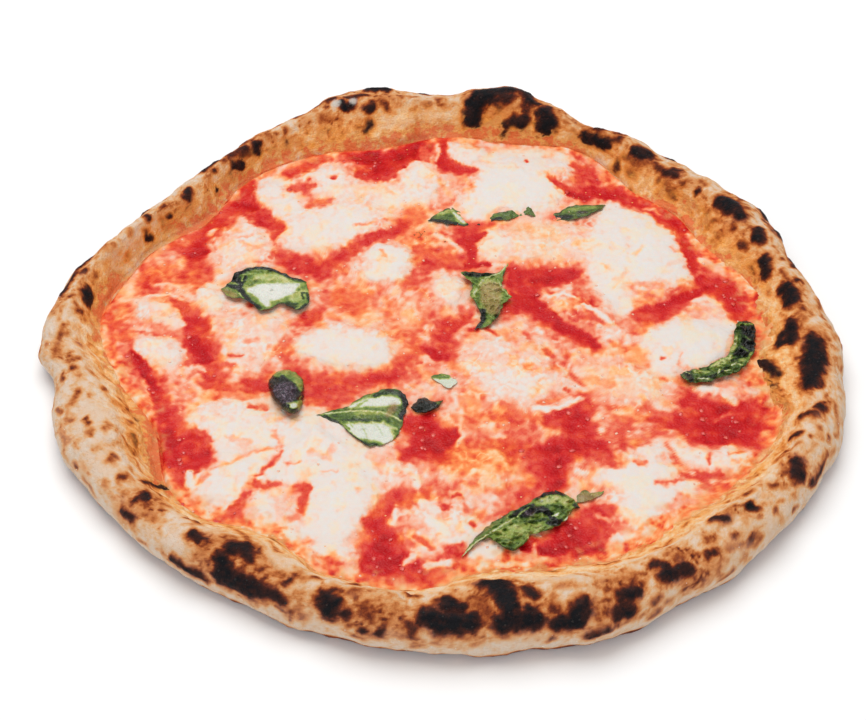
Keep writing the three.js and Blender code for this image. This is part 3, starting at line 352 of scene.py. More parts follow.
# Where oil warms the colours: strength, softness, and points.
OIL = (
    (1.0, 0.8, -21, 94, 1.0, -19.3, 92.2, 0.8), (1.0, 1.0, -8.2, 63.5, 1.6, -7.3, 67.5, 1.6),
    (1.0, 0.8, 69.2, 46.6, 0.9, 71.9, 43.5, 0.5), (1.0, 1.2, 86.5, 58.7, 1.0, 83, 52.3, 1.4),
    (1.0, 1.5, 76.1, 36.6, 1.6, 72.4, 30.5, 1.0), (0.9, 2.0, 79, -5, 2.5, 80, -11, 3.5),
    (0.8, 3.0, 49, 70, 3, 50, 62, 2), (0.5, 5.0, 34, 70, 6, 46, 64, 8, 44, 52, 5),
    (0.6, 3.0, 30, 124, 2, 42, 121, 3, 52, 122, 3), (1.0, 5.0, 4, -60, 7, 14, -66, 9, 24, -64, 8),
    (0.5, 5.0, 10, -44, 6, 28, -42, 6), (0.7, 5.0, -10, 80, 5, -6, 66, 7, -4, 56, 5),
    (0.6, 4.0, -36, 26, 7, -30, 18, 5), (0.6, 6.0, -120, 42, 6, -104, 38, 8, -96, 34, 4),
    (0.6, 6.0, -134, 10, 5, -126, 34, 6), (0.5, 5.0, -88, -26, 6, -66, -30, 6),
    (0.5, 4.0, -20, 94, 3, -22, 84, 3), (0.4, 5.0, -14, 18, 8, -12, -8, 6),
    (0.5, 4.0, 78, 38, 3, 70, 46, 3), (0.35, 6.0, -92, 74, 4, -104, 60, 6),
    (0.4, 6.0, 66, -20, 8, 80, -22, 8),
)

# ---- What the oven did to the crust ----
# Each scorch is how dark it is, from 0 to 1, and then its points, with three numbers for each as above.

SCORCHES = (
    # rear, left of the middle
    (1.00, -32, 168, 2.0, -24, 168, 2.0), (1.00, -44.5, 158, 1.5, -42, 154, 1.5), (1.00, -39.5, 155.5, 1.8),
    (0.80, -42, 162, 1.5, -33, 164, 1.5), (0.80, -58, 158.5, 1.0, -48, 160.5, 1.5), (1.00, -31, 154, 2.3),
    (0.72, -24, 158, 1.2, -23, 153, 1.2), (0.45, -28, 160, 3.0, -22, 162, 3.0),
    (0.55, -52, 146, 3.0, -50, 144, 2.0), (0.42, -60, 146, 2.0, -59, 142, 2.0),
    (0.42, -56, 152, 2.0, -60, 155, 2.0), (0.70, -66, 150.5, 1.2, -62, 151, 1.2),
    (0.82, -31, 142, 1.8, -33, 137, 1.5), (0.50, -34, 134, 1.2), (0.45, -44, 143, 2.0, -44, 139, 1.5),
    (0.42, -53, 137, 1.5, -52, 134, 1.5), (0.75, -69, 137.5, 1.2), (0.72, -68, 129, 1.2, -68, 126.5, 1.4),
    (0.48, -62, 130, 1.5, -61, 126, 1.5), (0.42, -75, 132, 3.0, -73, 128, 2.0),
    (0.97, -81, 126, 2.4, -81, 122.5, 2.4), (0.78, -93, 119, 1.4, -86, 122, 2.4), (0.62, 1, 161, 1.6),
    (0.42, 4, 157, 1.0, 3, 153, 1.0),
    # rear, right of the middle
    (1.00, 16, 145, 3.8, 17, 155, 4.0, 20, 163, 4.0),
    (0.98, 20, 163, 4.0, 28, 165.5, 3.5, 36, 166, 2.5, 42, 164, 3.0),
    (0.84, 24, 160, 2.6, 29, 161, 2.6, 34, 160.5, 2.4), (0.92, 41, 163, 2.8, 43, 159, 2.8),
    (1.00, 46, 157, 1.5), (0.74, 26, 157, 1.6, 28, 154, 1.6), (0.74, 40, 156, 1.5, 41, 150, 2.0),
    (0.95, 40, 146, 2.4, 38, 143, 2.8), (0.82, 36, 146, 2.0, 31, 141, 2.0),
    (0.78, 31, 140, 2.0, 30, 134, 1.6), (1.00, 49, 149, 3.8, 50, 143, 4.4, 49, 139, 3.8),
    (0.44, 26, 148, 5.0, 33, 150, 5.0), (0.42, 58, 144, 1.0, 59, 140, 1.0),
    (0.48, 63, 146, 1.0, 68, 140, 1.3), (0.55, 62, 137, 1.2), (0.88, 72, 139, 1.5, 75, 138.5, 1.5),
    (1.00, 67, 132, 2.5, 71, 130, 2.8, 76, 127, 2.5), (0.80, 76, 130, 1.8, 82, 131, 1.6),
    (0.72, 80, 136, 1.0, 84, 133, 1.0), (0.97, 90, 122, 3.0, 94, 120, 3.0),
    # right
    (0.78, 81, 116, 1.6, 80, 111, 2.4), (0.66, 84, 118, 1.5, 88, 117, 3.0, 92, 115, 2.6),
    (0.62, 85, 107, 2.2, 87, 105, 1.5), (0.54, 88, 111, 3.6), (0.74, 96, 113, 1.4, 99, 110, 1.8),
    (0.88, 101, 107, 2.0, 106, 106, 1.5), (0.84, 104, 109, 1.2, 108, 108, 1.0),
    (0.68, 98, 104, 1.4, 97, 101, 1.2), (0.68, 107, 100, 0.9, 110, 101, 0.9),
    (0.62, 101, 98, 2.8, 102, 92, 2.8), (0.68, 102, 90, 1.4), (0.66, 97, 93, 1.4),
    (0.84, 114, 95.5, 1.2, 113, 93, 1.3), (0.70, 85, 94, 0.9, 84.5, 92, 0.9),
    (1.00, 124, 87, 3.4, 127, 84, 3.8), (0.96, 130, 80, 2.4, 131, 77, 2.4),
    (0.60, 117, 79, 1.8, 116, 71, 2.0), (0.62, 123, 74, 0.8, 118, 75, 0.8),
    (0.70, 127, 72, 1.2, 127, 69, 1.5), (0.52, 117, 62, 2.0, 118, 58, 2.0),
    (0.95, 137, 68, 2.0, 137, 62, 2.3), (0.80, 130, 58, 2.2), (0.52, 126, 59, 1.0, 128, 64, 0.8),
    (1.00, 138, 48, 2.8, 138, 42, 3.0), (0.62, 144, 43, 1.0, 146, 38, 1.0), (0.84, 149.5, 36, 1.4),
    (0.84, 149, 50, 1.2, 150, 44, 1.2), (0.70, 141, 75, 0.9, 143, 66, 0.9),
    (1.00, 145, 31, 3.3, 146, 24, 3.3), (0.55, 147, 17, 1.2, 150, 13, 1.5), (0.44, 153, 20, 1.5),
    (1.00, 144, 10, 2.9, 143, 2, 3.3), (0.92, 139, 3, 2.4, 138, -2, 2.4), (0.70, 134, 10, 1.3, 134, 6, 1.3),
    (1.00, 152, 0, 3.4, 151, -10, 4.6, 148, -22, 3.9), (0.92, 128, -12, 1.6, 132, -14, 2.4, 135, -20, 1.5),
    (0.36, 130, -22, 4.0, 133, -34, 3.0), (0.50, 131, -20, 1.0, 132, -30, 1.0),
    (0.50, 136, -32, 0.8, 138, -38, 0.8), (0.97, 150, -37, 2.1), (0.78, 147, -41, 1.7, 142, -42, 1.7),
    (0.52, 140, -45, 1.2), (0.52, 156, -35, 0.9, 155, -48, 0.9), (0.88, 139, -52, 1.6, 136, -54, 1.0),
    (0.44, 133, -57, 0.7, 130, -60, 0.7), (0.38, 145, -57, 1.4), (0.92, 137, -67, 2.8, 136, -73, 3.0),
    (0.64, 132, -70, 1.8), (0.62, 131, -63, 1.0, 134, -62, 0.8),
    (0.80, 149, -62, 0.9, 143, -75, 1.2, 141, -77, 1.4), (0.70, 126, -77, 1.4, 128, -77, 1.0),
    (0.55, 134, -83, 1.0), (0.34, 123, -82, 1.4), (0.64, 118, -81, 1.0, 115, -83, 1.2),
    (0.98, 117.5, -88, 2.1), (0.44, 122, -87, 1.0), (0.88, 102, -94, 1.9, 106, -93.5, 1.7),
    (0.48, 110, -91, 1.2), (0.38, 127, -95, 1.6), (0.38, 114, -96, 1.6),
    # front, right of the middle
    (0.84, 98, -112.5, 1.4, 101, -111, 1.5), (0.52, 104, -109, 1.0, 110, -108, 1.0),
    (0.86, 78, -117, 1.8, 84, -118, 2.5), (0.92, 82, -121, 2.7, 90, -119, 2.9),
    (0.58, 87, -113, 2.3, 89, -112, 2.0), (0.64, 92, -122, 1.5, 93, -124, 1.0),
    (0.40, 98, -120, 3.6, 92, -125, 2.8), (0.54, 74, -109, 1.1, 77, -108, 0.9),
    (0.38, 86, -109, 1.8, 92, -109, 1.8), (0.78, 73, -125, 1.3), (0.50, 60, -125, 2.0, 70, -122, 2.8),
    (0.93, 66, -131, 2.6, 71, -129.5, 2.3), (0.93, 68, -137, 3.2, 64, -139, 2.4), (0.64, 60, -138, 2.0),
    (0.64, 79, -131, 1.2, 77, -134, 1.2), (1.00, 52, -135, 2.4, 50, -139, 3.7),
    (1.00, 50, -142, 2.8, 43, -143, 2.8), (0.72, 42, -137, 2.0), (0.58, 56, -137, 1.5, 57, -141, 1.2),
    (0.84, 60, -146, 1.8, 53, -149, 1.5), (0.46, 50, -127, 1.0, 42, -127, 1.0), (0.50, 51, -133, 1.2),
    (1.00, 16, -126, 2.0, 22, -125.5, 3.4), (1.00, 22, -126, 4.2, 25, -131, 3.8, 26, -138, 3.3),
    (1.00, 22, -143, 3.0, 34, -141, 3.7), (0.90, 33, -137, 2.0), (0.88, 31, -127, 1.5, 34, -130, 2.0),
    (0.60, 14, -132, 3.0, 18, -138, 2.5, 16, -143, 2.0), (0.96, 3, -134, 2.8, 8, -136, 2.4),
    (1.00, -4, -141, 3.0, 2, -143.5, 3.8, 12, -143, 3.3), (0.74, 6, -139, 2.8),
    (0.55, 12, -137, 2.8, 15, -140, 2.6), (0.74, -9, -145, 2.4, -9, -149, 2.0), (0.68, -1, -152, 1.0),
    # front, left of the middle
    (1.00, -40, -133, 3.3, -38, -136, 4.2), (0.88, -32, -139, 2.1), (0.58, -32, -130, 2.0, -28, -129, 1.5),
    (0.68, -26, -138, 2.6, -23, -141, 2.0), (0.80, -26, -147, 1.5), (0.84, -21, -148, 1.9, -19, -145, 1.5),
    (0.50, -14, -139, 2.4, -15, -136, 2.0), (0.50, -17, -143, 2.4), (0.84, -54, -124.5, 1.5),
    (0.55, -52, -120, 1.0, -50, -121, 1.2), (0.55, -50, -137, 2.0), (0.66, -66, -118, 1.0, -64, -119, 1.2),
    (0.95, -76, -108, 2.4, -70, -108, 3.0, -69, -113, 2.0),
    (1.00, -79, -114, 3.0, -77, -122, 4.0, -68, -127, 3.8),
    (0.88, -68, -127, 3.2, -58, -131, 2.4, -55, -134, 1.6),
    (0.92, -96, -114, 1.0, -88, -120, 1.9, -84, -123, 1.5), (0.60, -73, -101, 1.0, -69, -104, 1.5),
    (0.52, -83, -106, 2.0, -86, -111, 2.0), (0.50, -83, -117, 2.8), (0.64, -66, -125, 2.0),
    (0.96, -90, -102, 1.5, -88, -104, 1.7), (0.52, -86, -108, 1.8), (0.74, -92, -95, 0.8, -88, -97, 1.0),
    # left
    (0.88, -117, -90, 1.2, -113, -95, 1.4), (0.95, -110, -76, 1.0, -104, -79, 1.8, -102, -80, 1.4),
    (0.92, -112, -85, 1.6, -109, -83, 1.6), (0.54, -104, -82, 1.1, -103, -90, 1.3),
    (0.48, -107, -92, 2.0, -105, -95, 1.8), (0.78, -119, -73.5, 1.6), (0.44, -113, -79, 1.2),
    (0.44, -121, -85, 1.4), (0.58, -134, -76, 0.8, -130, -81, 0.8),
    (0.68, -117.5, -53, 1.9, -116, -57, 2.2), (0.68, -117, -43, 1.7),
    (0.88, -122, -28, 1.2, -118, -32, 1.4), (0.68, -131, -21.5, 1.5),
    (0.48, -127, -34, 1.5, -123, -37, 1.0), (0.58, -143, -34.5, 1.5), (0.62, -145, -10, 1.4),
    (0.58, -154, -7, 1.2, -154, -2, 1.3), (0.58, -154, 2, 1.4, -153, 4, 1.2), (0.46, -141, 2, 0.9),
    (0.36, -138, -55, 1.5), (0.38, -131, -59, 1.5), (1.00, -145, 28, 3.2, -145, 24, 3.4),
    (0.62, -149, 21, 1.2), (0.74, -147, 16.5, 1.7), (0.55, -145, 13, 1.0),
    (0.74, -149, 42, 1.2, -147, 44, 1.0), (0.50, -145, 38, 1.2), (0.60, -138, 34, 1.0, -137, 33, 1.0),
    (0.54, -131, 52, 1.2), (0.90, -147, 52, 0.8, -153, 38, 0.9, -157, 28, 1.4),
    (0.74, -125, 68, 1.1, -124, 66, 1.2), (0.97, -123, 63, 1.9), (0.97, -125, 77, 1.5),
    (0.94, -115.5, 77, 1.0), (0.68, -118, 75, 1.1, -117, 71, 1.3), (0.44, -112, 76, 1.0),
    (0.54, -118, 82, 0.9), (0.44, -111, 84, 1.8), (0.93, -109, 94, 1.5, -109, 89.5, 2.1),
    (0.84, -97, 95, 1.7, -96.5, 93.5, 1.5), (0.48, -100, 89, 1.0), (0.97, -91, 112, 1.5, -87, 112, 1.7),
    (0.68, -92, 107, 1.7, -91, 104, 1.3), (0.84, -99, 108.5, 1.3), (0.95, -105, 110, 1.0, -100, 116, 1.2),
)
# Dough that stayed pale, and dough that browned evenly: how baked, and points.
BAKED = (
    (0.05, -125, -68, 5, -124, -66, 4), (0.08, -130, -48, 6, -136, -40, 5),
    (0.04, -150, 20, 2.5, -155, 8, 3), (0.07, -137, 52, 3), (0.10, -64, 118, 5, -72, 120, 3),
    (0.10, -26, 137, 2.5, -12, 144, 6), (0.10, -2, 148, 3), (0.06, 112, 65, 2, 110, 68, 1.5),
    (0.12, 84, 98, 3, 74, 112, 3), (0.06, 145, -58, 5, 150, -54, 3), (0.10, 130, -88, 6, 118, -99, 6),
    (0.10, 46, -124, 4.5, 36, -121, 3), (0.12, -60, -112, 3.5, -52, -126, 4),
    (0.10, -10, -130, 3, 0, -128, 2.5, 10, -122, 2.5), (0.10, -96, -106, 2.5, -92, -110, 2),
    (0.34, -48, 130, 6, -40, 128, 4), (0.34, 22, 133, 5, 40, 132, 4), (0.33, -110, 88, 4, -116, 78, 3),
    (0.04, -134, 46, 4, -129, 59, 5), (0.30, -141, 26, 4, -140, 12, 4),
    (0.06, 66, 123, 3, 73, 116, 4, 82, 106, 3, 92, 97, 3), (0.30, 122, 72, 5, 128, 52, 4, 130, 36, 4),
    (0.36, 100, -116, 5, 90, -128, 2.5), (0.36, 68, -126, 6, 60, -136, 4),
    (0.36, -24, -134, 5, -14, -144, 5), (0.38, -82, -110, 8, -66, -120, 6),
    (0.34, -108, -84, 7, -118, -92, 4), (0.30, -122, -34, 3, -112, -56, 3, -98, -84, 3),
    (0.45, 131, -21, 2, 134, -30, 2.5, 136, -38, 2),
)
# Left, front and width of the places where burnt specks lie on the topping.
BURNT_SPECKS = ((-7.3, 66.5, 4.0), (2.7, 61.3, 1.8))
# Where the wall above the sauce stays clean: the middle and half the width of each stretch, in degrees.
CLEAN_WALL = ((156, 9), (54, 10))
# White ash on the scorches, and folds in the dough: points only.
ASHES = (
    (-47, 157.5, 2.0), (-39, 159, 1.5),
)
CREASES = (
    (-150, 2, 0.5, -143, 0, 0.8, -135, -10, 0.9, -131, -16, 0.6),
    (-133, -16, 0.5, -124, -28, 0.9, -117, -42, 0.9, -112, -56, 0.8, -106, -66, 0.5),
    (-134, -52, 0.4, -124, -58, 0.8, -112, -64, 0.5), (-102, -84, 0.4, -94, -92, 0.7, -84, -98, 0.5),
    (-160, 2, 0.6, -154, 2, 0.8, -148, 3, 0.5),
    (-30, -124, 0.4, -22, -127, 0.6, -12, -132, 0.6, -2, -128, 0.4),
    (104, -100, 0.4, 118, -88, 0.6, 128, -72, 0.5), (-68, -106, 0.4, -60, -118, 0.7, -52, -126, 0.5),
)

# ---- Basil ----
# Each leaf has a far and a near edge from tip to tip, as pairs of across and away, and its lift over the
# cheese, as pairs of a share of its length and millimetres. A dome bulges its middle, a cup lifts its edges,
# a lean lifts its near edge and a fold crumples it. Each row of its paint is a shade, the softness of its
# edge, and points. A shade goes from 0, scorched, over 0.5, green, to 1, under cheese; a few thin pale rows
# are painted highlights and painted reflections instead.

LEAVES = (
    {
        "far": (-89.5, 30, -86, 35.5, -84, 40, -78, 43.5, -71.5, 43.5, -65.5, 40.5, -60, 37, -55, 35,
         -53.5, 28),
        "near": (-89.5, 30, -87, 26, -84.5, 24.5, -81, 25, -76.5, 21, -73, 17.5, -69, 17.5, -64.5, 21.5,
         -60, 19, -56, 17.5, -53, 22, -53.5, 28),
        "lift": (0, 0.4, 0.1, 0.8, 0.9, 0.8, 1, 0.4),
        "dome": 0.0, "cup": 1.5, "lean": 0.0, "fold": 0.7,
        "paint": (
            (0.50, 4.0, -72, 30, 30), (0.74, 1.2, -74.7, 37.3, 2.2, -68.1, 37.3, 2.4, -61.4, 34.6, 2),
            (0.40, 0.9, -61.6, 37.3, 0.9, -58.5, 35.1, 1), (0.70, 1, -59.1, 24.6, 2.4, -55.7, 27.6, 2),
            (0.30, 0.6, -61.9, 21.6, 0.8, -58.3, 20.7, 1),
            (0.98, 1.2, -77.1, 29.4, 2, -72.4, 28.9, 4.6, -67.6, 28.5, 5.4, -62.4, 29.8, 3.8,
             -58.9, 32.2, 1.6),
            (0.96, 1, -71.5, 23.7, 2.4, -69.9, 20.3, 1.2),
            (0.06, 0.6, -85, 35.5, 1.2, -83.2, 40, 1.4, -79.7, 41.7, 0.9, -76.3, 43.3, 0.8,
             -71.4, 42.8, 0.8, -67.1, 40.8, 0.8, -61.6, 37.3, 0.7, -56.1, 35.1, 0.5),
            (0.06, 0.7, -88.1, 32.9, 0.7, -85, 31.6, 1.1, -82.3, 30.7, 1.3, -79.6, 25.9, 1,
             -76.6, 21.6, 0.9, -72.9, 18.6, 0.7),
            (0.08, 0.6, -82.8, 34.6, 1.4, -80.6, 37.3, 1.2, -81.8, 32.4, 1),
            # These thin pale rows on the dark left part are painted reflections.
            (0.72, 0.35, -81.1, 39.1, 0.4, -81.4, 35.1, 0.4),
            (0.74, 0.35, -78.4, 39.1, 0.5, -77.2, 40, 0.4), (0.86, 0.3, -82, 27.6, 0.25, -80.3, 24.2, 0.35),
            (0.62, 0.6, -86.4, 26.3, 0.9, -83.6, 25, 0.9), (0.20, 0.5, -89.1, 31.6, 0.6, -87.4, 32, 0.7),
            (0.12, 0.5, -65.3, 19, 0.5, -63.1, 21.1, 0.6, -58.8, 18.6, 0.9, -55.9, 18.1, 0.8,
             -54.2, 20.7, 0.6),
            (0.14, 0.45, -53.2, 23.3, 0.5, -54, 27.6, 0.4, -56.3, 27.6, 0.4, -55.3, 24.2, 0.4),
            (0.70, 0.6, -56, 32.9, 0.9, -54.5, 33.3, 0.7), (0.80, 0.35, -57.9, 18.1, 0.25, -56.5, 19, 0.25),
            (0.88, 0.4, -59.6, 32.9, 0.5, -57.5, 33.3, 0.4),
            (0.34, 0.5, -75.1, 35.1, 0.3, -76.8, 33.3, 0.5, -78.2, 31.6, 0.4),
        ),
        "brown": (-88, 29, 1.2, -84, 26, 1.2),
        "purple": (),
    },
    {
        "far": (-61, -17, -57, -18.5, -53.5, -23, -53, -30, -52.7, -35.5, -53.5, -39.5, -56, -41.6),
        "near": (-61, -17, -65.7, -20.5, -66.6, -26.5, -65, -32.5, -62.5, -36, -59.5, -40, -56, -41.6),
        "lift": (0, 0.1, 0.5, 0.2, 1, 0.1),
        "dome": 5.2, "cup": 0.0, "lean": 0.0, "fold": 0.5,
        "paint": (
            (0.10, 4, -59.6, -29.2, 20),
            (0.56, 0.7, -63.7, -19.8, 1.8, -60.6, -18.7, 1.9, -56.9, -20.9, 2.6, -54.6, -24.8, 1.7,
             -53.6, -28.7, 0.8),
            (0.62, 0.5, -62.6, -18.1, 0.6, -59.4, -18.4, 0.7), (0.06, 0.4, -61.6, -21.1, 0.6),
            (0.06, 0.6, -65.9, -23.7, 0.8, -66.2, -28.1, 0.8, -64.9, -33.6, 0.8),
            (0.55, 0.6, -58.5, -35.8, 0.6, -53.8, -35.3, 1.2, -53.4, -39.1, 1),
            (0.90, 0.7, -56.1, -37.2, 1.6), (0.30, 0.5, -59.5, -38.5, 0.6, -56.3, -40.9, 0.8),
            (0.70, 0.3, -53.9, -33.6, 0.3, -53.4, -32, 0.25),
        ),
        "brown": (),
        "purple": (-60, -29, 4.8, -59, -33, 3.0),
    },
    {
        "far": (-47, -42, -40.5, -39.5, -35, -37.5, -29.7, -32.5, -24.3, -30, -19, -27.5, -13.3, -30,
         -11.5, -36.5),
        "near": (-47, -42, -42, -45, -37, -48, -32, -54, -26.3, -58.5, -20.5, -57.7, -16, -54, -14, -49,
         -13.4, -45, -11.5, -36.5),
        "lift": (0, 0.2, 0.5, 0.5, 1, 0.6),
        "dome": 0.6, "cup": 0.6, "lean": -0.4, "fold": 0.6,
        "paint": (
            (0.44, 4.0, -30, -43, 30),
            (0.95, 1, -33.8, -37.7, 0.9, -28.4, -35.8, 2.2, -22.1, -34.7, 3, -16.6, -34.7, 2.4,
             -15.1, -36.4, 1.6),
            (0.62, 0.5, -27.6, -34.2, 0.3, -30.7, -36.9, 0.5, -31.8, -38.5, 0.4),
            (0.24, 0.6, -24.5, -32, 1, -21.4, -30.3, 1.3, -19.1, -29.2, 1.4, -15.1, -30.3, 1.2),
            (0.08, 0.7, -14, -30.9, 1.2, -12.3, -34.7, 1.5, -12.7, -39.6, 1.6, -14.2, -43.9, 1.2),
            (0.30, 0.8, -17.4, -39.1, 1.4, -14.6, -38.5, 1.6),
            (0.10, 0.5, -19.9, -28.5, 0.5, -17.5, -29.2, 0.4),
            (0.40, 0.9, -39.8, -43.4, 1.2, -34.4, -43.4, 1.4, -27.4, -43.4, 1.5, -21.2, -43.9, 1.4,
             -17.3, -45, 1),
            (0.60, 0.7, -32.1, -41.6, 0.6, -24.3, -40.9, 0.7, -19.6, -41.6, 0.7),
            (0.24, 0.5, -37.4, -45, 0.5, -30.5, -44.8, 0.6, -23.5, -45.5, 0.6, -19.5, -47.1, 0.4),
            (0.95, 1.2, -33.8, -48.7, 2.2, -28.7, -50.9, 4.4, -22.6, -51.4, 5, -19.8, -54.6, 3.2),
            (0.80, 0.4, -30.4, -46.1, 0.4, -28.4, -49.8, 0.4, -27.1, -54, 0.3),
            (0.84, 0.4, -25, -46.1, 0.4, -22.6, -49.3, 0.4, -21, -53, 0.3),
            (0.76, 0.4, -34.3, -46.1, 0.4, -32.7, -48.7, 0.4),
            (0.80, 0.6, -21.1, -46.1, 0.6, -18, -48.7, 0.6, -15.6, -49.8, 0.5),
            (0.84, 0.35, -46.1, -41.9, 0.25, -39.9, -41.1, 0.4, -33.7, -40.2, 0.4, -27.5, -40, 0.4,
             -21.2, -40.9, 0.4, -16.5, -43.4, 0.4, -14.1, -45.5, 0.3),
            (0.12, 0.5, -43.7, -42.8, 0.4, -39.7, -45.5, 0.5, -35.7, -50.3, 0.6, -31.7, -54.6, 0.6,
             -27, -58.2, 0.7, -23.9, -57.7, 0.4),
            (0.50, 0.5, -38.2, -45, 0.4, -34.2, -49.8, 0.5),
        ),
        "brown": (-17, -37, 1.6, -19, -42, 1.2),
        "purple": (),
    },
    {
        "far": (-10.5, -38, -8, -34, -5, -33, -2, -35, 2, -34.5),
        "near": (-10.5, -38, -8, -40.5, -5, -41, -1, -39.5, 2, -34.5),
        "lift": (0, 0.5, 1, 0.6),
        "dome": 1.4, "cup": 0.0, "lean": 0.0, "fold": 0.8,
        "paint": (
            (0.10, 4.0, -5, -37, 20), (0.40, 0.5, 0.5, -35.5, 1.2, 2, -34.5, 1.0),
        ),
        "brown": (),
        "purple": (),
    },
    {
        "far": (-2.5, -21, 2, -19.5, 5, -21, 8, -24),
        "near": (-2.5, -21, 1, -25, 5, -27.5, 8, -24),
        "lift": (0, 0.3, 1, 0.2),
        "dome": 0.0, "cup": 0.4, "lean": 0.3, "fold": 0.4,
        "paint": (
            (0.90, 4.0, 3, -23, 20), (0.46, 0.7, -2, -21, 1.0, 1, -21, 1.4, 4, -21.5, 1.0),
        ),
        "brown": (),
        "purple": (),
    },
    {
        "far": (14.8, 5.5, 17.3, 10.5, 17.5, 16, 15.8, 22, 13.4, 26, 14.3, 33, 9.8, 40, 15, 40.5, 22, 40,
         25.7, 40.5, 29.6, 46),
        "near": (14.8, 5.5, 21, 8.5, 25.5, 15, 27, 21.5, 30.5, 25, 27, 32, 27.5, 37, 29.6, 46),
        "lift": (0, 0.5, 0.4, 1.0, 1, 1.2),
        "dome": 0.8, "cup": 1.0, "lean": 0.0, "fold": 1.3,
        "paint": (
            (0.50, 4.0, 20, 25, 30), (0.14, 0.8, 12, 39.5, 1.2, 17, 39, 1.8, 23, 39.5, 1.3),
            (0.68, 0.8, 15.5, 31, 1.3, 15, 26, 1.0), (0.76, 1.2, 22, 33, 3.2, 24, 26, 2.8),
            (0.10, 0.8, 16, 7, 1.2, 18, 12, 1.7, 18.5, 17, 1.3), (0.24, 0.6, 24, 13, 0.6, 25.5, 20, 0.6),
            (0.84, 0.35, 29.5, 45.5, 0.3, 26, 40, 0.5, 20, 37, 0.5, 16.5, 31, 0.4, 15, 26, 0.3),
            (0.80, 0.35, 25, 36, 0.3, 27, 30, 0.4, 30, 25.5, 0.3),
            (0.76, 0.35, 21, 36, 0.3, 21.5, 28, 0.4, 20.5, 20, 0.3),
        ),
        "brown": (22, 30, 4.4, 22, 24, 4.2, 23, 17, 2.6),
        "purple": (),
    },
    {
        "far": (-4, 74, 0.5, 79, 6, 82, 12, 79, 18, 77, 25.5, 78.5, 32, 80, 39, 83, 44, 79, 51, 78.5,
         58, 83.5, 65, 84, 73, 84),
        "near": (-4, 74, 1, 72.5, 6, 71.5, 12.5, 70, 17.5, 70, 21.5, 72, 25.5, 74, 30.7, 74.5, 39, 77.5,
         44, 75.5, 52, 74, 57.5, 74.5, 63.5, 76.5, 69, 80, 73, 84),
        "lift": (0, 0.4, 0.12, 0.5, 0.18, 0.0, 0.24, -1.0, 0.36, -1.0, 0.42, 0.0, 0.5, 0.25, 0.54, -0.9,
         0.57, -0.2, 0.59, 0.5, 0.63, -0.9, 0.71, -0.8, 0.76, 0.2, 0.86, 0.6, 1, 0.2),
        "dome": 0.2, "cup": 0.2, "lean": 0.3, "fold": 0.5,
        "paint": (
            (0.38, 4.0, 0, 78, 30, 60, 80, 30),
            (0.10, 0.6, -3.5, 74, 0.7, 2, 73, 1.0, 8, 71.5, 0.8, 17, 70.5, 0.7, 22, 73, 0.9, 27, 75, 0.9),
            (0.64, 0.8, 1, 78, 1.2, 6, 80, 1.1), (0.93, 0.8, 7, 78.6, 0.7, 9.1, 75.4, 1.1, 11.2, 72.2, 1),
            (0.66, 0.4, 7.5, 74.2, 0.3, 10.1, 71.3, 0.3), (0.72, 0.5, 2.4, 78.3, 0.5, 4.5, 80.4, 0.5),
            (0.12, 0.4, 0.5, 73.4, 0.4, 4.2, 73.4, 0.4, 6.7, 71.7, 0.3),
            (0.12, 0.8, 44, 76, 0.9, 52, 75.5, 1.2, 57, 76, 1.3),
            (0.56, 0.8, 55, 80, 1.5, 62, 81, 1.5, 68, 82.5, 1.0),
        ),
        "brown": (),
        "purple": (61, 79, 1.0, 64, 79, 0.8),
    },
    {
        "far": (96.5, -20, 101, -17.3, 106, -16, 111, -12.5, 116, -9, 119, -3, 120.5, 4, 122.5, 10,
         126, 11),
        "near": (96.5, -20, 97, -22, 100, -24.5, 107, -24, 114.5, -20.7, 120, -18, 125, -11, 127.5, -5.5,
         129, 1.5, 129, 8.5, 126, 11),
        "lift": (0, 0.2, 1, 0.5),
        "dome": 1.2, "cup": 0.3, "lean": 0.4, "fold": 1.9,
        "paint": (
            (0.36, 4.0, 112, -10, 40),
            (0.04, 0.9, 125.9, 8, 2.6, 126.6, 3.8, 3.3, 126, -2, 3, 123.1, -7, 2.6, 119.6, -8.2, 1),
            (0.62, 0.6, 123.7, 9.2, 0.5, 126.3, 8.8, 0.7, 128.7, 9.2, 0.5),
            (0.38, 0.5, 124.1, 2.1, 0.6, 126.2, 0, 0.5), (0.38, 0.5, 122.3, -4.1, 0.7, 124.6, -6.6, 0.6),
            (0.74, 0.7, 120.5, 0.9, 0.8, 119.5, -2.9, 1, 118.1, -6.2, 1),
            (0.72, 0.9, 117.1, -10.3, 1.5, 113.3, -13.1, 1.8, 109.7, -15.5, 1.3),
            (0.72, 0.6, 102.6, -18.3, 0.8, 105.1, -18.7, 0.9, 107.4, -18.7, 0.6),
            (0.05, 0.8, 98.7, -17.5, 1.2, 99.6, -20.3, 1.2, 100.5, -23.1, 1),
            (0.16, 0.5, 104, -21.5, 0.4, 108.5, -21.5, 0.8, 111.9, -19.1, 0.7, 115.3, -16.3, 0.5),
            (0.62, 0.6, 121.5, -11.9, 1.2, 124.2, -10.7, 0.9, 125.9, -7.8, 0.5),
            (0.14, 0.5, 117.5, -11.9, 0.4, 120.4, -10.7, 0.4, 124, -9.4, 0.5),
            # The thin pale rows from here to the end of this paint are painted highlights.
            (0.97, 0.25, 116.8, -15.1, 0.25, 119.3, -13.5, 0.35, 121.2, -14.7, 0.25),
            (0.97, 0.25, 112.4, -16.7, 0.2, 111.2, -19.9, 0.3),
            (0.97, 0.25, 103.1, -22.3, 0.25, 105.4, -22.2, 0.35, 107.3, -22.5, 0.25),
            (0.92, 0.25, 98.1, -18.3, 0.25, 100.2, -19.3, 0.25),
            (0.90, 0.25, 114.3, -17.9, 0.25, 116.3, -17.4, 0.2),
            (0.88, 0.25, 123.3, -13.5, 0.25, 124.9, -11.9, 0.2),
            (0.85, 0.25, 119.8, -2.9, 0.25, 120.9, -0.8, 0.2),
        ),
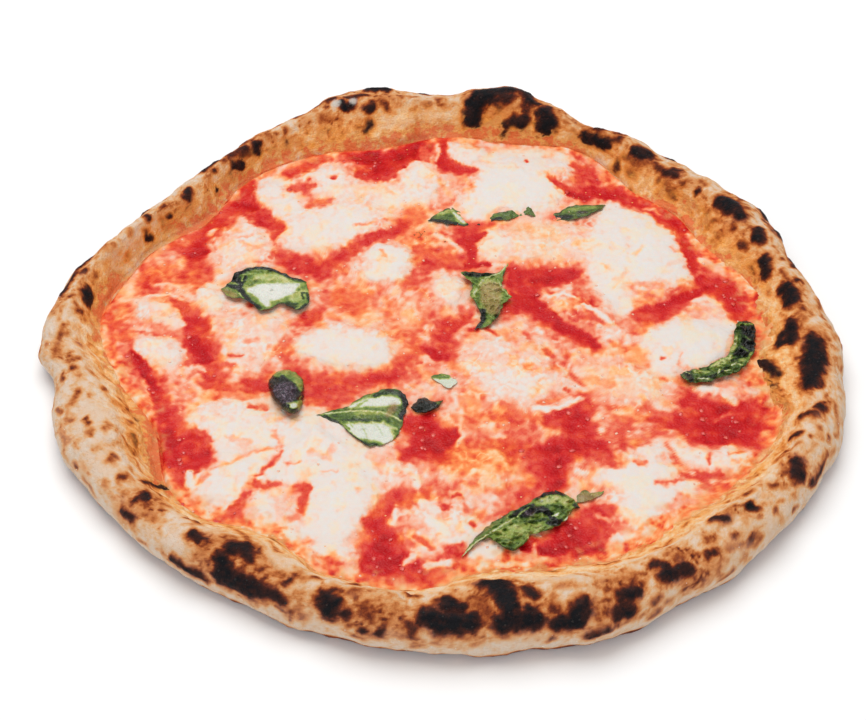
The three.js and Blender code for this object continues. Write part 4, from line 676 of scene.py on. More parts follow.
        "brown": (),
        "purple": (),
    },
    {
        "far": (9, -114, 11, -109.5, 15, -103.5, 20, -98, 26, -93, 32, -89, 37, -85, 42, -82, 47, -82.5,
         51, -86, 53, -90),
        "near": (9, -114, 12, -110.5, 15, -107, 18.5, -104.5, 21.5, -106.5, 24, -109, 28, -110.5,
         32.5, -106.5, 34, -103.5, 38.5, -101.5, 43.5, -99.5, 47.5, -96, 50, -91.5, 53, -90),
        "lift": (0, 0.1, 0.5, 0.3, 1, 0.5),
        "dome": 1.8, "cup": 0.2, "lean": 0.0, "fold": 1.9,
        "paint": (
            (0.48, 4.0, 30, -98, 40),
            (0.62, 1.1, 23, -103.3, 3, 27.9, -102.5, 3.2, 33.5, -100.9, 3, 38.5, -97.3, 1.8),
            (0.42, 0.8, 12.5, -108.9, 0.5, 16.9, -103.3, 0.9, 21.2, -98.5, 1, 25, -95.6, 0.9),
            (0.10, 0.7, 27.2, -94.8, 0.6, 30, -92.4, 1.3, 33.2, -89.9, 1.2, 35.7, -88.7, 0.7),
            (0.05, 0.7, 31.2, -94, 0.8, 35, -91.2, 1.5, 39.4, -90.8, 1.7, 41.7, -93.2, 1.2,
             43.5, -96.5, 1.2),
            (0.07, 0.7, 37.7, -84.6, 1, 40.9, -82.7, 1.2, 44.7, -82.5, 1, 47.1, -83.7, 0.6),
            (0.76, 0.7, 37.6, -87.5, 1.2, 41.4, -86.2, 1.8, 45.2, -85.4, 1.8, 47.9, -87.1, 1.4),
            (0.36, 0.6, 40, -89.5, 0.4, 43.8, -88.7, 0.6, 46.2, -89.5, 0.7, 47, -92.8, 0.7),
            (0.66, 0.6, 47, -85.4, 0.9, 49.4, -87.1, 0.9, 49.9, -89.5, 0.8),
            (0.10, 0.6, 51.2, -88.7, 0.7, 52.7, -90.8, 0.7),
            (0.12, 0.6, 41, -97.3, 1, 44, -98.1, 1.1, 45.9, -96.1, 0.8),
            (0.42, 0.6, 21.1, -104.9, 0.6, 24.8, -106.1, 0.9, 28.5, -104.5, 0.7, 32.2, -103.7, 0.5),
            (0.34, 0.6, 21.4, -108.1, 0.7, 24.1, -109.3, 1, 27.1, -108.9, 0.9),
            (0.30, 0.5, 39.8, -95.6, 0.9, 36.1, -96.5, 0.5, 32.4, -96.9, 0.4),
            (0.74, 0.5, 26.1, -99.7, 0.5, 28.6, -98.5, 0.6, 31.6, -100.9, 0.5),
            (0.72, 0.5, 33.3, -104.5, 0.5, 35.9, -102.5, 0.5, 38.5, -98.5, 0.4),
            (0.16, 0.35, 15.6, -106.9, 0.3, 18.7, -102.9, 0.35, 22.4, -99.7, 0.3),
            (0.86, 0.3, 9.4, -113.2, 0.25, 11.9, -109.3, 0.3, 16.2, -104.9, 0.35, 20.6, -101.3, 0.35,
             24.9, -97.8, 0.35, 28.1, -95.4, 0.3, 31.3, -92.4, 0.3, 34.4, -89.5, 0.25),
            # The thin pale rows from here to the end of this paint are painted highlights.
            (0.97, 0.25, 42.6, -94, 0.35, 44.2, -93.5, 0.45, 45.2, -92.4, 0.25),
            (0.95, 0.25, 46.4, -97.8, 0.4, 47.3, -96.5, 0.3, 48.5, -94, 0.2, 49.3, -92, 0.2),
            (0.88, 0.25, 38.6, -87.1, 0.35, 39.5, -86.2, 0.25),
            (0.88, 0.25, 33.8, -104.9, 0.3, 34.7, -103.5, 0.25),
            (0.85, 0.25, 10.4, -110.5, 0.25, 9.9, -112.8, 0.2),
        ),
        "brown": (),
        "purple": (34, -92.8, 1.8),
    },
    {
        "far": (51.5, -88, 53, -84, 55, -81.5, 58, -83, 62.5, -81.5),
        "near": (51.5, -88, 54, -87.5, 57, -86.5, 60, -84.5, 62.5, -81.5),
        "lift": (0, 0.3, 1, 0.5),
        "dome": 0.3, "cup": 0.4, "lean": 0.0, "fold": 0.5,
        "paint": (
            (0.48, 4.0, 57, -84, 20), (0.30, 0.7, 53.5, -84.5, 0.8, 55.5, -84.5, 0.9, 58, -85, 0.5),
            (0.64, 0.5, 58, -83.5, 0.6, 61, -82.5, 0.5),
        ),
        "brown": (55, -85, 3.0, 59, -84, 2.0),
        "purple": (),
    },
)


# ---- Smooth random fields ----

LATTICE = 4096  # how many slopes the clouds draw on
CELLS = 64  # how many cells of curds there are each way before they repeat


def clouds(points, size, seed):
    """Smooth random numbers from about -1 to 1, with lumps of one size, at points of 2 or 3 axes."""
    random = np.random.default_rng(seed)
    order = random.permutation(LATTICE)
    axes = points.shape[-1]
    slopes = random.normal(size=(LATTICE, axes))
    slopes /= np.linalg.norm(slopes, axis=1, keepdims=True)
    scaled = points / size + 400.0
    cell = np.floor(scaled).astype(int)
    inside = scaled - cell
    ease = inside**3 * (inside * (inside * 6 - 15) + 10)
    total = 0.0
    for corner in itertools.product((0, 1), repeat=axes):
        key = 0
        share = 1.0
        for axis, step in enumerate(corner):
            key = order[(key + cell[..., axis] + step) % LATTICE]
            share = share * (ease[..., axis] if step else 1 - ease[..., axis])
        total = total + share * ((inside - np.array(corner)) * slopes[key]).sum(-1)
    return total * 1.6


def layered(points, size, seed, layers=3, fading=0.55):
    """Clouds of several sizes, each half as large as the last."""
    return sum(clouds(points, size / 2**layer, seed + layer) * fading**layer for layer in range(layers))


def curds(points, size, seed):
    """Irregular cells on a plane: how far the middle and the edge are, and a number for each cell."""
    random = np.random.default_rng(seed)
    spots = random.uniform(0.1, 0.9, (CELLS, CELLS, 2))
    numbers = random.uniform(-1, 1, (CELLS, CELLS))
    scaled = points / size + 640.0
    cell = np.floor(scaled).astype(int)
    nearest = np.full(points.shape[:-1], 9.0)
    second = nearest.copy()
    number = np.zeros(nearest.shape)
    for down, right in itertools.product((-1, 0, 1), repeat=2):
        corner = cell + (down, right)
        key = (corner[..., 0] % CELLS, corner[..., 1] % CELLS)
        gap = np.linalg.norm(corner + spots[key] - scaled, axis=-1)
        closer = gap < nearest
        second = np.where(closer, nearest, np.minimum(second, gap))
        number = np.where(closer, numbers[key], number)
        nearest = np.where(closer, gap, nearest)
    return nearest, second - nearest, number


def smooth(low, high, value):
    """From 0 at low to 1 at high, without corners."""
    share = np.clip((value - low) / (high - low), 0, 1)
    return share * share * (3 - 2 * share)


def points_of(numbers, width=3):
    """The points of a stroke, from the numbers in a row."""
    return np.array(numbers, float).reshape(-1, width)


def stroke_depth(places, points):
    """How far inside a stroke of changing width each place is, on any number of axes."""
    depth = np.full(places.shape[:-1], -1e9)
    ends = points[1:] if len(points) > 1 else points
    for start, end in zip(points, ends):
        way = end[:-1] - start[:-1]
        reach = places - start[:-1]
        share = np.clip((reach @ way) / max(way @ way, 1e-9), 0, 1)
        gap = np.linalg.norm(reach - share[..., None] * way, axis=-1)
        depth = np.maximum(depth, start[-1] + (end[-1] - start[-1]) * share - gap)
    return depth


# ---- Node trees ----

class Wire:
    """A value that runs through a node tree. Sums on it add Math nodes."""

    def __init__(self, bench, socket):
        self.bench = bench
        self.socket = socket

    def __add__(self, other):
        return self.bench.math("ADD", self, other)

    __radd__ = __add__

    def __sub__(self, other):
        return self.bench.math("SUBTRACT", self, other)

    def __rsub__(self, other):
        return self.bench.math("SUBTRACT", other, self)

    def __mul__(self, other):
        return self.bench.math("MULTIPLY", self, other)

    __rmul__ = __mul__


class Bench:
    """Lays out the nodes of one tree."""

    def __init__(self, tree):
        self.tree = tree

    def add(self, kind, settings=None, sockets=None, out=0):
        """Adds a node, sets it up, fills its sockets and gives one of its outputs."""
        node = self.tree.nodes.new(kind)
        for name, value in (settings or {}).items():
            if name == "stops":
                self.set_stops(node.color_ramp, value)
            else:
                setattr(node, name, value)
        for key, value in (sockets or {}).items():
            if isinstance(value, Wire):
                self.tree.links.new(value.socket, node.inputs[key])
            else:
                node.inputs[key].default_value = value
        return Wire(self, node.outputs[out])

    def set_stops(self, ramp, stops):
        """Fills a ramp from rows of a place and a screen colour."""
        while len(ramp.elements) < len(stops):
            ramp.elements.new(1.0)
        for element, (place, *screen) in zip(ramp.elements, stops):
            element.position = place
            element.color = surface(*screen)

    def math(self, operation, *values):
        return self.add("ShaderNodeMath", {"operation": operation}, dict(enumerate(values)))

    def held(self, value):
        """Keeps a value between 0 and 1."""
        return self.add("ShaderNodeClamp", None, {"Value": value})

    def between(self, value, low, high):
        """0 below low, 1 above high, and smooth between them."""
        return self.add(
            "ShaderNodeMapRange", {"interpolation_type": "SMOOTHSTEP"},
            {"Value": value, "From Min": low, "From Max": high},
        )

    def ramp(self, value, stops):
        return self.add("ShaderNodeValToRGB", {"stops": stops}, {"Fac": value})

    def blend(self, share, first, second, kind="MIX"):
        """One colour laid over another."""
        return self.add(
            "ShaderNodeMix", {"data_type": "RGBA", "blend_type": kind, "clamp_factor": True},
            {0: share, 6: first, 7: second}, out=2,
        )

    def attribute(self, name):
        return self.add("ShaderNodeAttribute", {"attribute_name": name}, out="Fac")

    def noise(self, place, size, detail=2.0, roughness=0.55):
        """Noise round 0, from about -1 to 1, with lumps of a size in millimetres."""
        raw = self.add(
            "ShaderNodeTexNoise", None,
            {"Vector": place, "Scale": METRE / size, "Detail": detail, "Roughness": roughness},
        )
        return (raw - 0.5) * 3.0

    def bump(self, shader, strength, distance, height):
        """Lays a fine relief over a surface."""
        sockets = {"Strength": strength, "Distance": distance, "Height": height}
        join(self, self.add("ShaderNodeBump", None, sockets), shader.inputs["Normal"])


def surface(*screen):
    """The surface colour that shows as this screen colour under the stage's light."""
    light = bpy.context.scene.pizza.stage.light
    shares = [value / 255 for value in screen]
    colour = [share / 12.92 if share <= 0.04045 else ((share + 0.055) / 1.055) ** 2.4 for share in shares]
    return (*(share / light for share in colour), 1.0)


def new_material(name, roughness, **constants):
    """A material whose shader has its constants on its own sockets."""
    material = bpy.data.materials.new(name)
    material.use_nodes = True
    shader = material.node_tree.nodes["Principled BSDF"]
    shader.inputs["Roughness"].default_value = roughness
    for socket, value in constants.items():
        shader.inputs[socket.replace("_", " ")].default_value = value
    return material, Bench(material.node_tree), shader


def join(bench, wire, socket):
    bench.tree.links.new(wire.socket, socket)


# ---- Meshes ----

def to_metres(places):
    """From the toppings' layout in millimetres to the frame in metres."""
    moved = np.array(places, float)
    moved[..., :2] += MIDDLE
    return moved / METRE


def mesh_object(name, places, faces, values=None):
    """An object with a mesh, and numbers on its vertices."""
    mesh = bpy.data.meshes.new(name)
    mesh.from_pydata(to_metres(places).tolist(), [], faces)
    for key, numbers in (values or {}).items():
        layer = mesh.attributes.new(key, "FLOAT", "POINT")
        layer.data.foreach_set("value", np.asarray(numbers, np.float32).ravel())
    mesh.polygons.foreach_set("use_smooth", np.ones(len(mesh.polygons), bool))
    mesh.update()
    piece = bpy.data.objects.new(name, mesh)
    bpy.context.scene.collection.objects.link(piece)
    return piece


def grid_faces(rows, columns, closed=False):
    """Faces between the rows of a grid of vertices, with the columns joined round if closed."""
    across = columns if closed else columns - 1
    row, column = np.meshgrid(np.arange(rows - 1), np.arange(across), indexing="ij")
    after = (column + 1) % columns
    low = row * columns
    high = (row + 1) * columns
    return np.stack((low + column, low + after, high + after, high + column), -1).reshape(-1, 4).tolist()


def close_below(piece, height):
    """Gives an open sheet an upright edge and a flat underside at a height."""
    mesh = bmesh.new()
    mesh.from_mesh(piece.data)
    border = [edge.link_loops[0] for edge in mesh.edges if edge.is_boundary]
    ends = [(loop.vert, loop.link_loop_next.vert, loop.face) for loop in border]
    below = {}
    for vertex in dict.fromkeys(itertools.chain(*(pair[:2] for pair in ends))):
        below[vertex] = mesh.verts.new((vertex.co.x, vertex.co.y, height / METRE), vertex)
    lower = []
    for start, end, face in ends:
        lower.append(mesh.edges.new((below[start], below[end])))
        mesh.faces.new((end, start, below[start], below[end]), face)
    bmesh.ops.triangle_fill(mesh, edges=lower, use_beauty=True)
    bmesh.ops.recalc_face_normals(mesh, faces=mesh.faces)
    for face in mesh.faces:
        face.smooth = True
    mesh.to_mesh(piece.data)
    mesh.free()


def node_places(name):
    """The vertices of a node of the frame, in the toppings' layout, in millimetres."""
    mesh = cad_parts[name].data
    places = np.empty(len(mesh.vertices) * 3, np.float32)
    mesh.vertices.foreach_get("co", places)
    places = places.reshape(-1, 3).astype(float) * METRE
    places[:, :2] -= MIDDLE
    return places


def heights_under(mesh, x, y, above, missing):
    """Heights of a mesh at places, looked down on from above, in millimetres."""
    tree = BVHTree.FromPolygons([v.co for v in mesh.vertices], [tuple(p.vertices) for p in mesh.polygons])
    starts = to_metres(np.stack((x, y, np.full(x.shape, above)), -1)).reshape(-1, 3)
    hits = [tree.ray_cast(Vector(start), Vector((0, 0, -1)))[0] for start in starts]
    return np.array([hit.z * METRE if hit else missing for hit in hits]).reshape(x.shape)


def turn_of(x, y):
    """The angle of each place round the middle, in degrees."""
    return np.degrees(np.arctan2(y, x)) % 360


def apart(angles, angle):
    """How many degrees angles lie from one angle, either way round."""
    return np.abs((angles - angle + 180) % 360 - 180)


def by_angle(angles, values, turns):
    """Reads values that are given at angles at other angles, smoothly and round the full circle."""
    order = np.argsort(angles)
    angles = angles[order]
    values = values[order]
    count = len(angles)
    angles = np.concatenate((angles - 360, angles, angles + 360))
    values = np.tile(values, 3)
    slot = np.searchsorted(angles, turns) - 1
    share = (turns - angles[slot]) / (angles[slot + 1] - angles[slot])
    before, start, end, after = (values[(slot + step) % (3 * count)] for step in (-1, 0, 1, 2))
    cubic = 3 * (start - end) + after - before
    square = 2 * before - 5 * start + 4 * end - after
    return start + 0.5 * share * (end - before + share * (square + share * cubic))


def run_nodes(piece, tree, sizes):
    """Runs a node tree on a piece with its inputs set, and keeps the result as a plain mesh."""
    modifier = piece.modifiers.new(tree.name, "NODES")
    modifier.node_group = tree
    for item in tree.interface.items_tree:
        if item.item_type == "SOCKET" and item.in_out == "INPUT" and item.name in sizes:
            modifier[item.identifier] = sizes[item.name]
    bpy.context.view_layer.update()
    result = bpy.data.meshes.new_from_object(piece.evaluated_get(bpy.context.evaluated_depsgraph_get()))
    piece.modifiers.remove(modifier)
    piece.data = result
    return piece


def new_tree(name, inputs):
    """A geometry tree with named inputs; gives its bench, the inputs as wires and its last node."""
    tree = bpy.data.node_groups.new(name, "GeometryNodeTree")
    tree.interface.new_socket("Geometry", in_out="INPUT", socket_type="NodeSocketGeometry")
    for label, kind in inputs.items():
        tree.interface.new_socket(label, in_out="INPUT", socket_type=kind)
    tree.interface.new_socket("Geometry", in_out="OUTPUT", socket_type="NodeSocketGeometry")
    bench = Bench(tree)
    entry = tree.nodes.new("NodeGroupInput")
    exit_node = tree.nodes.new("NodeGroupOutput")
    wires = {label: Wire(bench, entry.outputs[label]) for label in ("Geometry", *inputs)}
    return bench, wires, exit_node


def finish_piece(piece, slot, *nodes):
    """Fixes a piece to the pizza."""
    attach(piece, "root")
    if nodes:
        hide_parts(*nodes)


# ---- The melted toppings ----

def soften(values, width):
    """Blurs a grid of values over a width in millimetres."""
    rows, columns = values.shape
    down = np.fft.fftfreq(rows)[:, None]
    across = np.fft.rfftfreq(columns)[None, :]
    fade = np.exp(-2 * (np.pi * width / PITCH) ** 2 * (down**2 + across**2))
    return np.fft.irfft2(np.fft.rfft2(values) * fade, s=values.shape)


def paint(tone, calm, places, strokes):
    """Lays each stroke over the last."""
    for value, softness, stillness, *numbers in strokes:
        spots = points_of(numbers)
        margin = spots[:, 2].max() + softness + 6
        low = spots[:, :2].min(0) - margin
        high = spots[:, :2].max(0) + margin
        first = np.clip((low + REACH) / PITCH, 0, None).astype(int)
        last = np.clip((high + REACH) / PITCH, 0, None).astype(int) + 1
        part = (slice(first[1], last[1]), slice(first[0], last[0]))
        edge = softness * 1.35
        share = smooth(-edge, edge, stroke_depth(places[part], spots))
        tone[part] += (value - tone[part]) * share
        calm[part] += (stillness - calm[part]) * share


class Topping:
    """Colour and height of everything that melted on the dough, on one fine grid."""

    def __init__(self):
        steps = np.arange(-REACH, REACH + PITCH / 2, PITCH)
        self.x, self.y = np.meshgrid(steps, steps, indexing="xy")
        self.pools = {}
        rise = np.zeros(self.x.shape)
        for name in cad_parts:
            if name.startswith("mozzarella"):
                part, top = self.top_of(name)
                self.pools[name] = (part, top > 0)
                rise[part] = np.maximum(rise[part], np.where(top > 0, top - TOPPING_BOTTOM + 0.25, 0))
        self.rise = soften(rise, 1.3)
        self.meet_dough()
        self.pattern()
        self.relief()

    def top_of(self, name):
        """The window of the grid that a node covers, and the height of its top there."""
        places = node_places(name)
        first = ((places.min(0)[:2] + REACH) / PITCH).astype(int) - 1
        last = ((places.max(0)[:2] + REACH) / PITCH).astype(int) + 3
        part = (slice(first[1], last[1]), slice(first[0], last[0]))
        return part, heights_under(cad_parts[name].data, self.x[part], self.y[part], 0.5 * SKY, 0.0)

    def meet_dough(self):
        """How far each place lies inside the dough's foot, and how high the dough is there."""
        turns, foot, *_ = rim_measures()
        edge = np.interp(turn_of(self.x, self.y), [*turns, 360], [*foot, foot[0]])
        self.inside = edge - np.hypot(self.x, self.y)
        wanted = (self.inside < 7) & (self.inside > -16)
        crust = bpy.data.objects["baked_crust"].data
        self.dough = np.full(self.x.shape, FLOOR)
        self.dough[wanted] = heights_under(crust, self.x[wanted], self.y[wanted], SKY, FLOOR)

    def pattern(self):
        """The mix of tomato, cream and oil."""
        # Places wander, so that no stroke has a straight edge, and are read higher up where a pool rises.
        flat = np.stack((self.x, self.y + np.clip(self.rise - 0.6, -0.6, 3)), -1)
        bent = np.empty(flat.shape)
        deep = flat * (1, 0.78)
        for axis, seed in ((0, 10), (1, 30)):
            sway = 2.0 * layered(deep, 11, seed) + 1.0 * layered(deep, 2.6, seed + 10, 2)
            bent[..., axis] = flat[..., axis] + sway
        tone = np.full(self.x.shape, 0.60)
        calm = np.zeros(self.x.shape)
        paint(tone, calm, bent, CREAM)
        paint(tone, calm, bent, TOMATO)
        # Clots, cells and seams stir the mix, most where it is neither red nor white.
        near_mix = soften(tone, 3.6)
        tone = tone + (near_mix - tone) * (0.55 - 0.25 * smooth(0.75, 0.95, tone))
        blots = layered(deep, 13.0, 45, 2, 0.6)
        clots = layered(deep, 6.0, 50, 2, 0.6)
        flecks = layered(deep, 2.8, 60, 2, 0.4)
        veins = np.clip(1 - np.abs(layered(deep, 7.0, 70)) * 2.6, 0, 1) ** 2
        wavy = deep + 0.8 * np.stack((clouds(deep, 2.4, 71), clouds(deep, 2.4, 72)), -1)
        _, large_edge, large = curds(wavy, 5.2, 73)
        middle, small_edge, small = curds(wavy, 2.7, 74)
        large = soften(large * smooth(0.0, 0.3, large_edge), 0.45)
        small = soften(small * smooth(0.0, 0.35, small_edge), 0.35)
        seams = soften(1 - smooth(0.0, 0.28, small_edge), 0.3)
        middling = np.clip(1 - np.abs(tone - 0.6) / 0.42, 0, 1)
        swing = (1 - calm) * (0.30 + 0.70 * middling)
        mix = 0.12 * blots + 0.13 * clots + 0.08 * flecks - 0.06 * veins + 0.03
        mix = mix + 0.13 * large + 0.12 * small - 0.07 * seams
        tone = tone + swing * np.where(mix < 0, mix * 0.75, mix)
        strands = smooth(0.10, 0.0, np.abs(layered(deep, 8.0, 75, 2)))
        strands = strands * smooth(0.0, 0.4, clouds(flat, 11, 78))
        tone = tone + 0.16 * strands * smooth(0.3, 0.5, tone) * (1 - calm)
        # Cheese is crumbly, and tomato pulpy.
        white = smooth(0.7, 0.9, tone)
        crumbs = 0.13 * smooth(0.15, 0.9, clots) + 0.13 * smooth(0.0, 1.0, large) + 0.07 * seams
        tone = tone - white * (1 - 0.5 * calm) * (crumbs - 0.02)
        red = 1 - smooth(0.2, 0.4, tone)
        tone = tone + red * (0.04 * flecks + 0.08 * clots + 0.10 * blots)
        # The small strokes, with ragged edges.
        frayed = np.stack((clouds(deep, 2.2, 76), clouds(deep, 2.2, 77)), -1)
        ragged = flat + 0.35 * (bent - flat) + 0.7 * frayed
        broad = tone.copy()
        paint(tone, calm.copy(), ragged, [(value, 0.75, 0, *numbers) for value, *numbers in FINE])
        tone = tone + (broad - tone) * (0.16 + 0.18 * small)
        # Oil lies in its own strokes, in patches and beads, and along the dough.
        oil = np.zeros(self.x.shape)
        for strength, softness, *numbers in OIL:
            depth = stroke_depth(bent, points_of(numbers))
            oil = np.maximum(oil, strength * smooth(-softness, softness, depth))
        patches = smooth(-0.1, 0.6, layered(bent, 9, 80))
        specks = smooth(0.35, 0.8, soften(large, 0.5)) * smooth(-0.3, 0.3, layered(bent, 12, 81))
        oil = oil + 0.7 * patches * (1 - oil) + 0.7 * specks
        brim = smooth(6.0, 0.0, self.inside + 3.0 * clots)
        paler = 0.56 + 0.40 * layered(flat, 7.0, 160, 3, 0.7)
        tone = tone + (paler - tone) * brim * (0.42 + 0.4 * smooth(-0.3, 0.5, layered(flat, 10.0, 165, 2)))
        # Edges are a little stronger than painted.
        tone = tone + 0.45 * (tone - soften(tone, 1.5))
        self.tone = np.clip(tone, 0, 1)
        self.oil = np.clip(np.maximum(oil, 0.9 * brim), 0, 1)
        self.curd = middle
        self.clots = clots

    def relief(self):
        """Height of the surface: pools stand up, tomato lies low and pulpy."""
        flat = np.stack((self.x, self.y), -1)
        lumps = layered(flat, 8.0, 120, 3, 0.6)
        pulp = layered(flat, 2.4, 130, 2, 0.6)
        rough = 1 - 0.75 * smooth(0.7, 0.95, soften(self.tone, 0.8))
        grains = 0.12 * pulp + 0.09 * self.clots - 0.22 * smooth(0.1, 0.8, self.curd)
        self.height = (
            5.0 + 0.85 * self.rise + 0.95 * (soften(self.tone, 1.1) - 0.3)
            + 0.26 * lumps * (0.4 + 0.6 * rough) + rough * grains
        )
        # The tomato climbs the dough in a thin, torn film.
        frayed = layered(flat, 9.0, 150, 4, 0.8)
        above = self.dough - self.height
        climb = np.clip(1.8 + 3.6 * frayed, 0.3, 6)
        climb = climb * (1 - 0.85 * smooth(9.0, 5.0, np.abs(turn_of(self.x, self.y) - BARE_TURN)))
        film = 0.4 * np.clip(1 - above / climb, -1, 1)
        coated = np.maximum(self.height, self.dough + film * smooth(-1.0, 0.6, above))
        self.height = np.where(film > 0, coated, self.dough - 0.35)
        reach = soften((film > 0).astype(float), 1.9)
        torn = 0.5 + 0.5 * np.clip(layered(flat, 8.0, 155, 4, 0.75) * 1.5 + 0.1, -0.6, 1)
        self.thin = soften(smooth(0.07, -0.07, reach - torn) * smooth(9.0, 5.0, self.inside), 0.4)
        covered = np.zeros(self.x.shape)
        for part, mask in self.pools.values():
            depth = inset(np.pad(mask, 1))[1:-1, 1:-1]
            covered[part] = np.maximum(covered[part], smooth(2.2, 3.8, depth))
        self.covered = soften(covered, 0.5)

    def read(self, values, x, y):
        """Values of the grid at other places, blended between its points."""
        column = np.clip((x + REACH) / PITCH, 0, values.shape[1] - 1.001)
        row = np.clip((y + REACH) / PITCH, 0, values.shape[0] - 1.001)
        left = column.astype(int)
        below = row.astype(int)
        across = column - left
        up = row - below
        lower = values[below, left] * (1 - across) + values[below, left + 1] * across
        upper = values[below + 1, left] * (1 - across) + values[below + 1, left + 1] * across
        return lower * (1 - up) + upper * up


@functools.cache
def topping():
    """The toppings' grid, worked out once."""
    return Topping()


def sauce_reach(turns):
    """How far out the sauce of the frame goes at angles in degrees."""
    x, y, _ = node_places("tomato_sauce").T
    angles = turn_of(x, y)
    steps = np.arange(60) * 6.0
    reach = [np.hypot(x, y)[apart(angles, step) < 0.5].max() for step in steps]
    return by_angle(steps, np.array(reach), turns % 360)


def topping_material(name):
    """Tomato and cheese run into each other: one mix of colours, wet where the tomato is."""
    plain = (
        (0.00, 172, 8, 18), (0.14, 200, 20, 27), (0.28, 215, 46, 42), (0.42, 232, 92, 68),
        (0.54, 242, 138, 104), (0.66, 245, 177, 148), (0.78, 240, 201, 181), (0.90, 232, 217, 207),
        (1.00, 227, 222, 217),
    )
    oily = (
        (0.00, 180, 12, 18), (0.14, 208, 32, 26), (0.28, 225, 64, 38), (0.42, 240, 102, 54),
        (0.54, 249, 138, 74), (0.66, 252, 171, 106), (0.78, 249, 198, 148), (0.90, 239, 217, 187),
        (1.00, 231, 223, 204),
    )
    material, bench, shader = new_material(
        name, 0.4, Subsurface_Weight=0.08, Subsurface_Scale=0.001, Subsurface_Radius=(1.0, 0.4, 0.25),
        Coat_Roughness=0.14, Specular_IOR_Level=0.10,
    )
    place = bench.add("ShaderNodeTexCoord", out="Object")
    tone = bench.attribute("tone")
    oil = bench.attribute("oil")
    fine = bench.noise(place, 2.4, 1.0, 0.4)
    grain = bench.noise(place, 0.9, 0.0)
    wild = bench.between(tone, 0.05, 0.35) * (1 - bench.between(tone, 0.8, 1.0) * 0.7)
    shade = bench.held(tone + fine * (wild * 0.06 + 0.015))
    colour = bench.blend(oil, bench.ramp(shade, plain), bench.ramp(shade, oily))
    stained = bench.held(0.55 + bench.noise(place, 5.0, 2.0) * 1.2)
    dough = bench.blend(stained, surface(226, 146, 80), surface(238, 188, 130))
    colour = bench.blend(bench.held(bench.attribute("thin") * (0.9 + fine * 0.3)), colour, dough)
    join(bench, colour, shader.inputs["Base Color"])
    red = 1 - bench.between(shade, 0.25, 0.6)
    join(bench, 0.47 - red * 0.17 + fine * 0.08, shader.inputs["Roughness"])
    join(bench, bench.held(0.02 + red * 0.04 + oil * 0.02), shader.inputs["Coat Weight"])
    milky = bench.between(shade, 0.7, 0.9)
    height = fine * (0.6 - milky * 0.45) + grain * (0.15 + red * 0.35 - milky * 0.12)
    bench.bump(shader, 0.5, 0.0006, height)
    return material


def build_sauce(settings):
    """The layer of tomato, out to the dough."""
    field = topping()
    steps = np.linspace(-1, 1, TOMATO_STEPS)
    across, away = np.meshgrid(steps, steps, indexing="xy")
    wide = np.abs(across) > np.abs(away)
    safe_across = np.where(across == 0, 1e-9, across)
    safe_away = np.where(away == 0, 1e-9, away)
    turn = np.where(wide, np.pi / 4 * away / safe_across, np.pi / 2 - np.pi / 4 * across / safe_away)
    radius = np.where(wide, across, away)
    x = radius * np.cos(turn)
    y = radius * np.sin(turn)
    angle = turn_of(x, y)
    share = np.hypot(x, y)
    reach = sauce_reach(angle.ravel()).reshape(angle.shape) + settings.overlap * METRE
    x = share * reach * np.cos(np.radians(angle))
    y = share * reach * np.sin(np.radians(angle))
    height = field.read(field.height, x, y) - 0.45 * field.read(field.covered, x, y)
    last = smooth(2.0, 0.0, (1 - share) * reach)
    height = height + (np.minimum(height, field.read(field.dough, x, y) - 1.0) - height) * last
    places = np.stack((x, y, height), -1).reshape(-1, 3)
    values = {key: field.read(getattr(field, key), x, y) for key in ("tone", "oil", "thin")}
    piece = mesh_object("crushed_tomato", places, grid_faces(TOMATO_STEPS, TOMATO_STEPS), values)
    close_below(piece, FLOOR + 0.1)
    return piece


def inset(mask):
    """How far inside a mask each place lies, up to 4 mm."""
    total = np.zeros(mask.shape)
    left = mask
    for _ in range(int(4 / PITCH)):
        total += left * PITCH
        inner = left.copy()
        for axis, step in itertools.product((0, 1), (-1, 1)):
            inner &= np.roll(left, step, axis)
        left = inner
    return total


def build_pools(settings):
    """Each pool of mozzarella, from the places that its node covers."""
    field = topping()
    pieces = []
    for name, (part, mask) in field.pools.items():
        padded = np.pad(mask, POOL_MARGIN).astype(float)
        inner = slice(POOL_MARGIN, -POOL_MARGIN)
        depth = soften(inset(soften(padded, 0.8) > 0.5), 0.7)[inner, inner]
        used = (depth > 0.3) & (field.height[part] > 4.9)
        cells = used[:-1, :-1] & used[:-1, 1:] & used[1:, :-1] & used[1:, 1:]
        used = np.zeros(mask.shape, bool)
        for down, right in itertools.product((0, 1), repeat=2):
            used[down:down + cells.shape[0], right:right + cells.shape[1]] |= cells
        index = np.full(mask.shape, -1)
        index[used] = np.arange(used.sum())
        rows, columns = np.nonzero(cells)
        corners = ((0, 0), (0, 1), (1, 1), (1, 0))
        faces = np.stack([index[rows + down, columns + right] for down, right in corners], -1)
        sink = np.clip(1 - depth / 2.8, 0, 1) ** 2.5
        height = field.height[part] + settings.lift * METRE - 0.8 * sink
        places = np.stack((field.x[part], field.y[part], height), -1)[used]
        values = {key: getattr(field, key)[part][used] for key in ("tone", "oil", "thin")}
        piece = mesh_object(f"melted_{name}", places, faces.tolist(), values)
        close_below(piece, POOL_BOTTOM)
        pieces.append((piece, name))
    return pieces


# ---- The crust ----

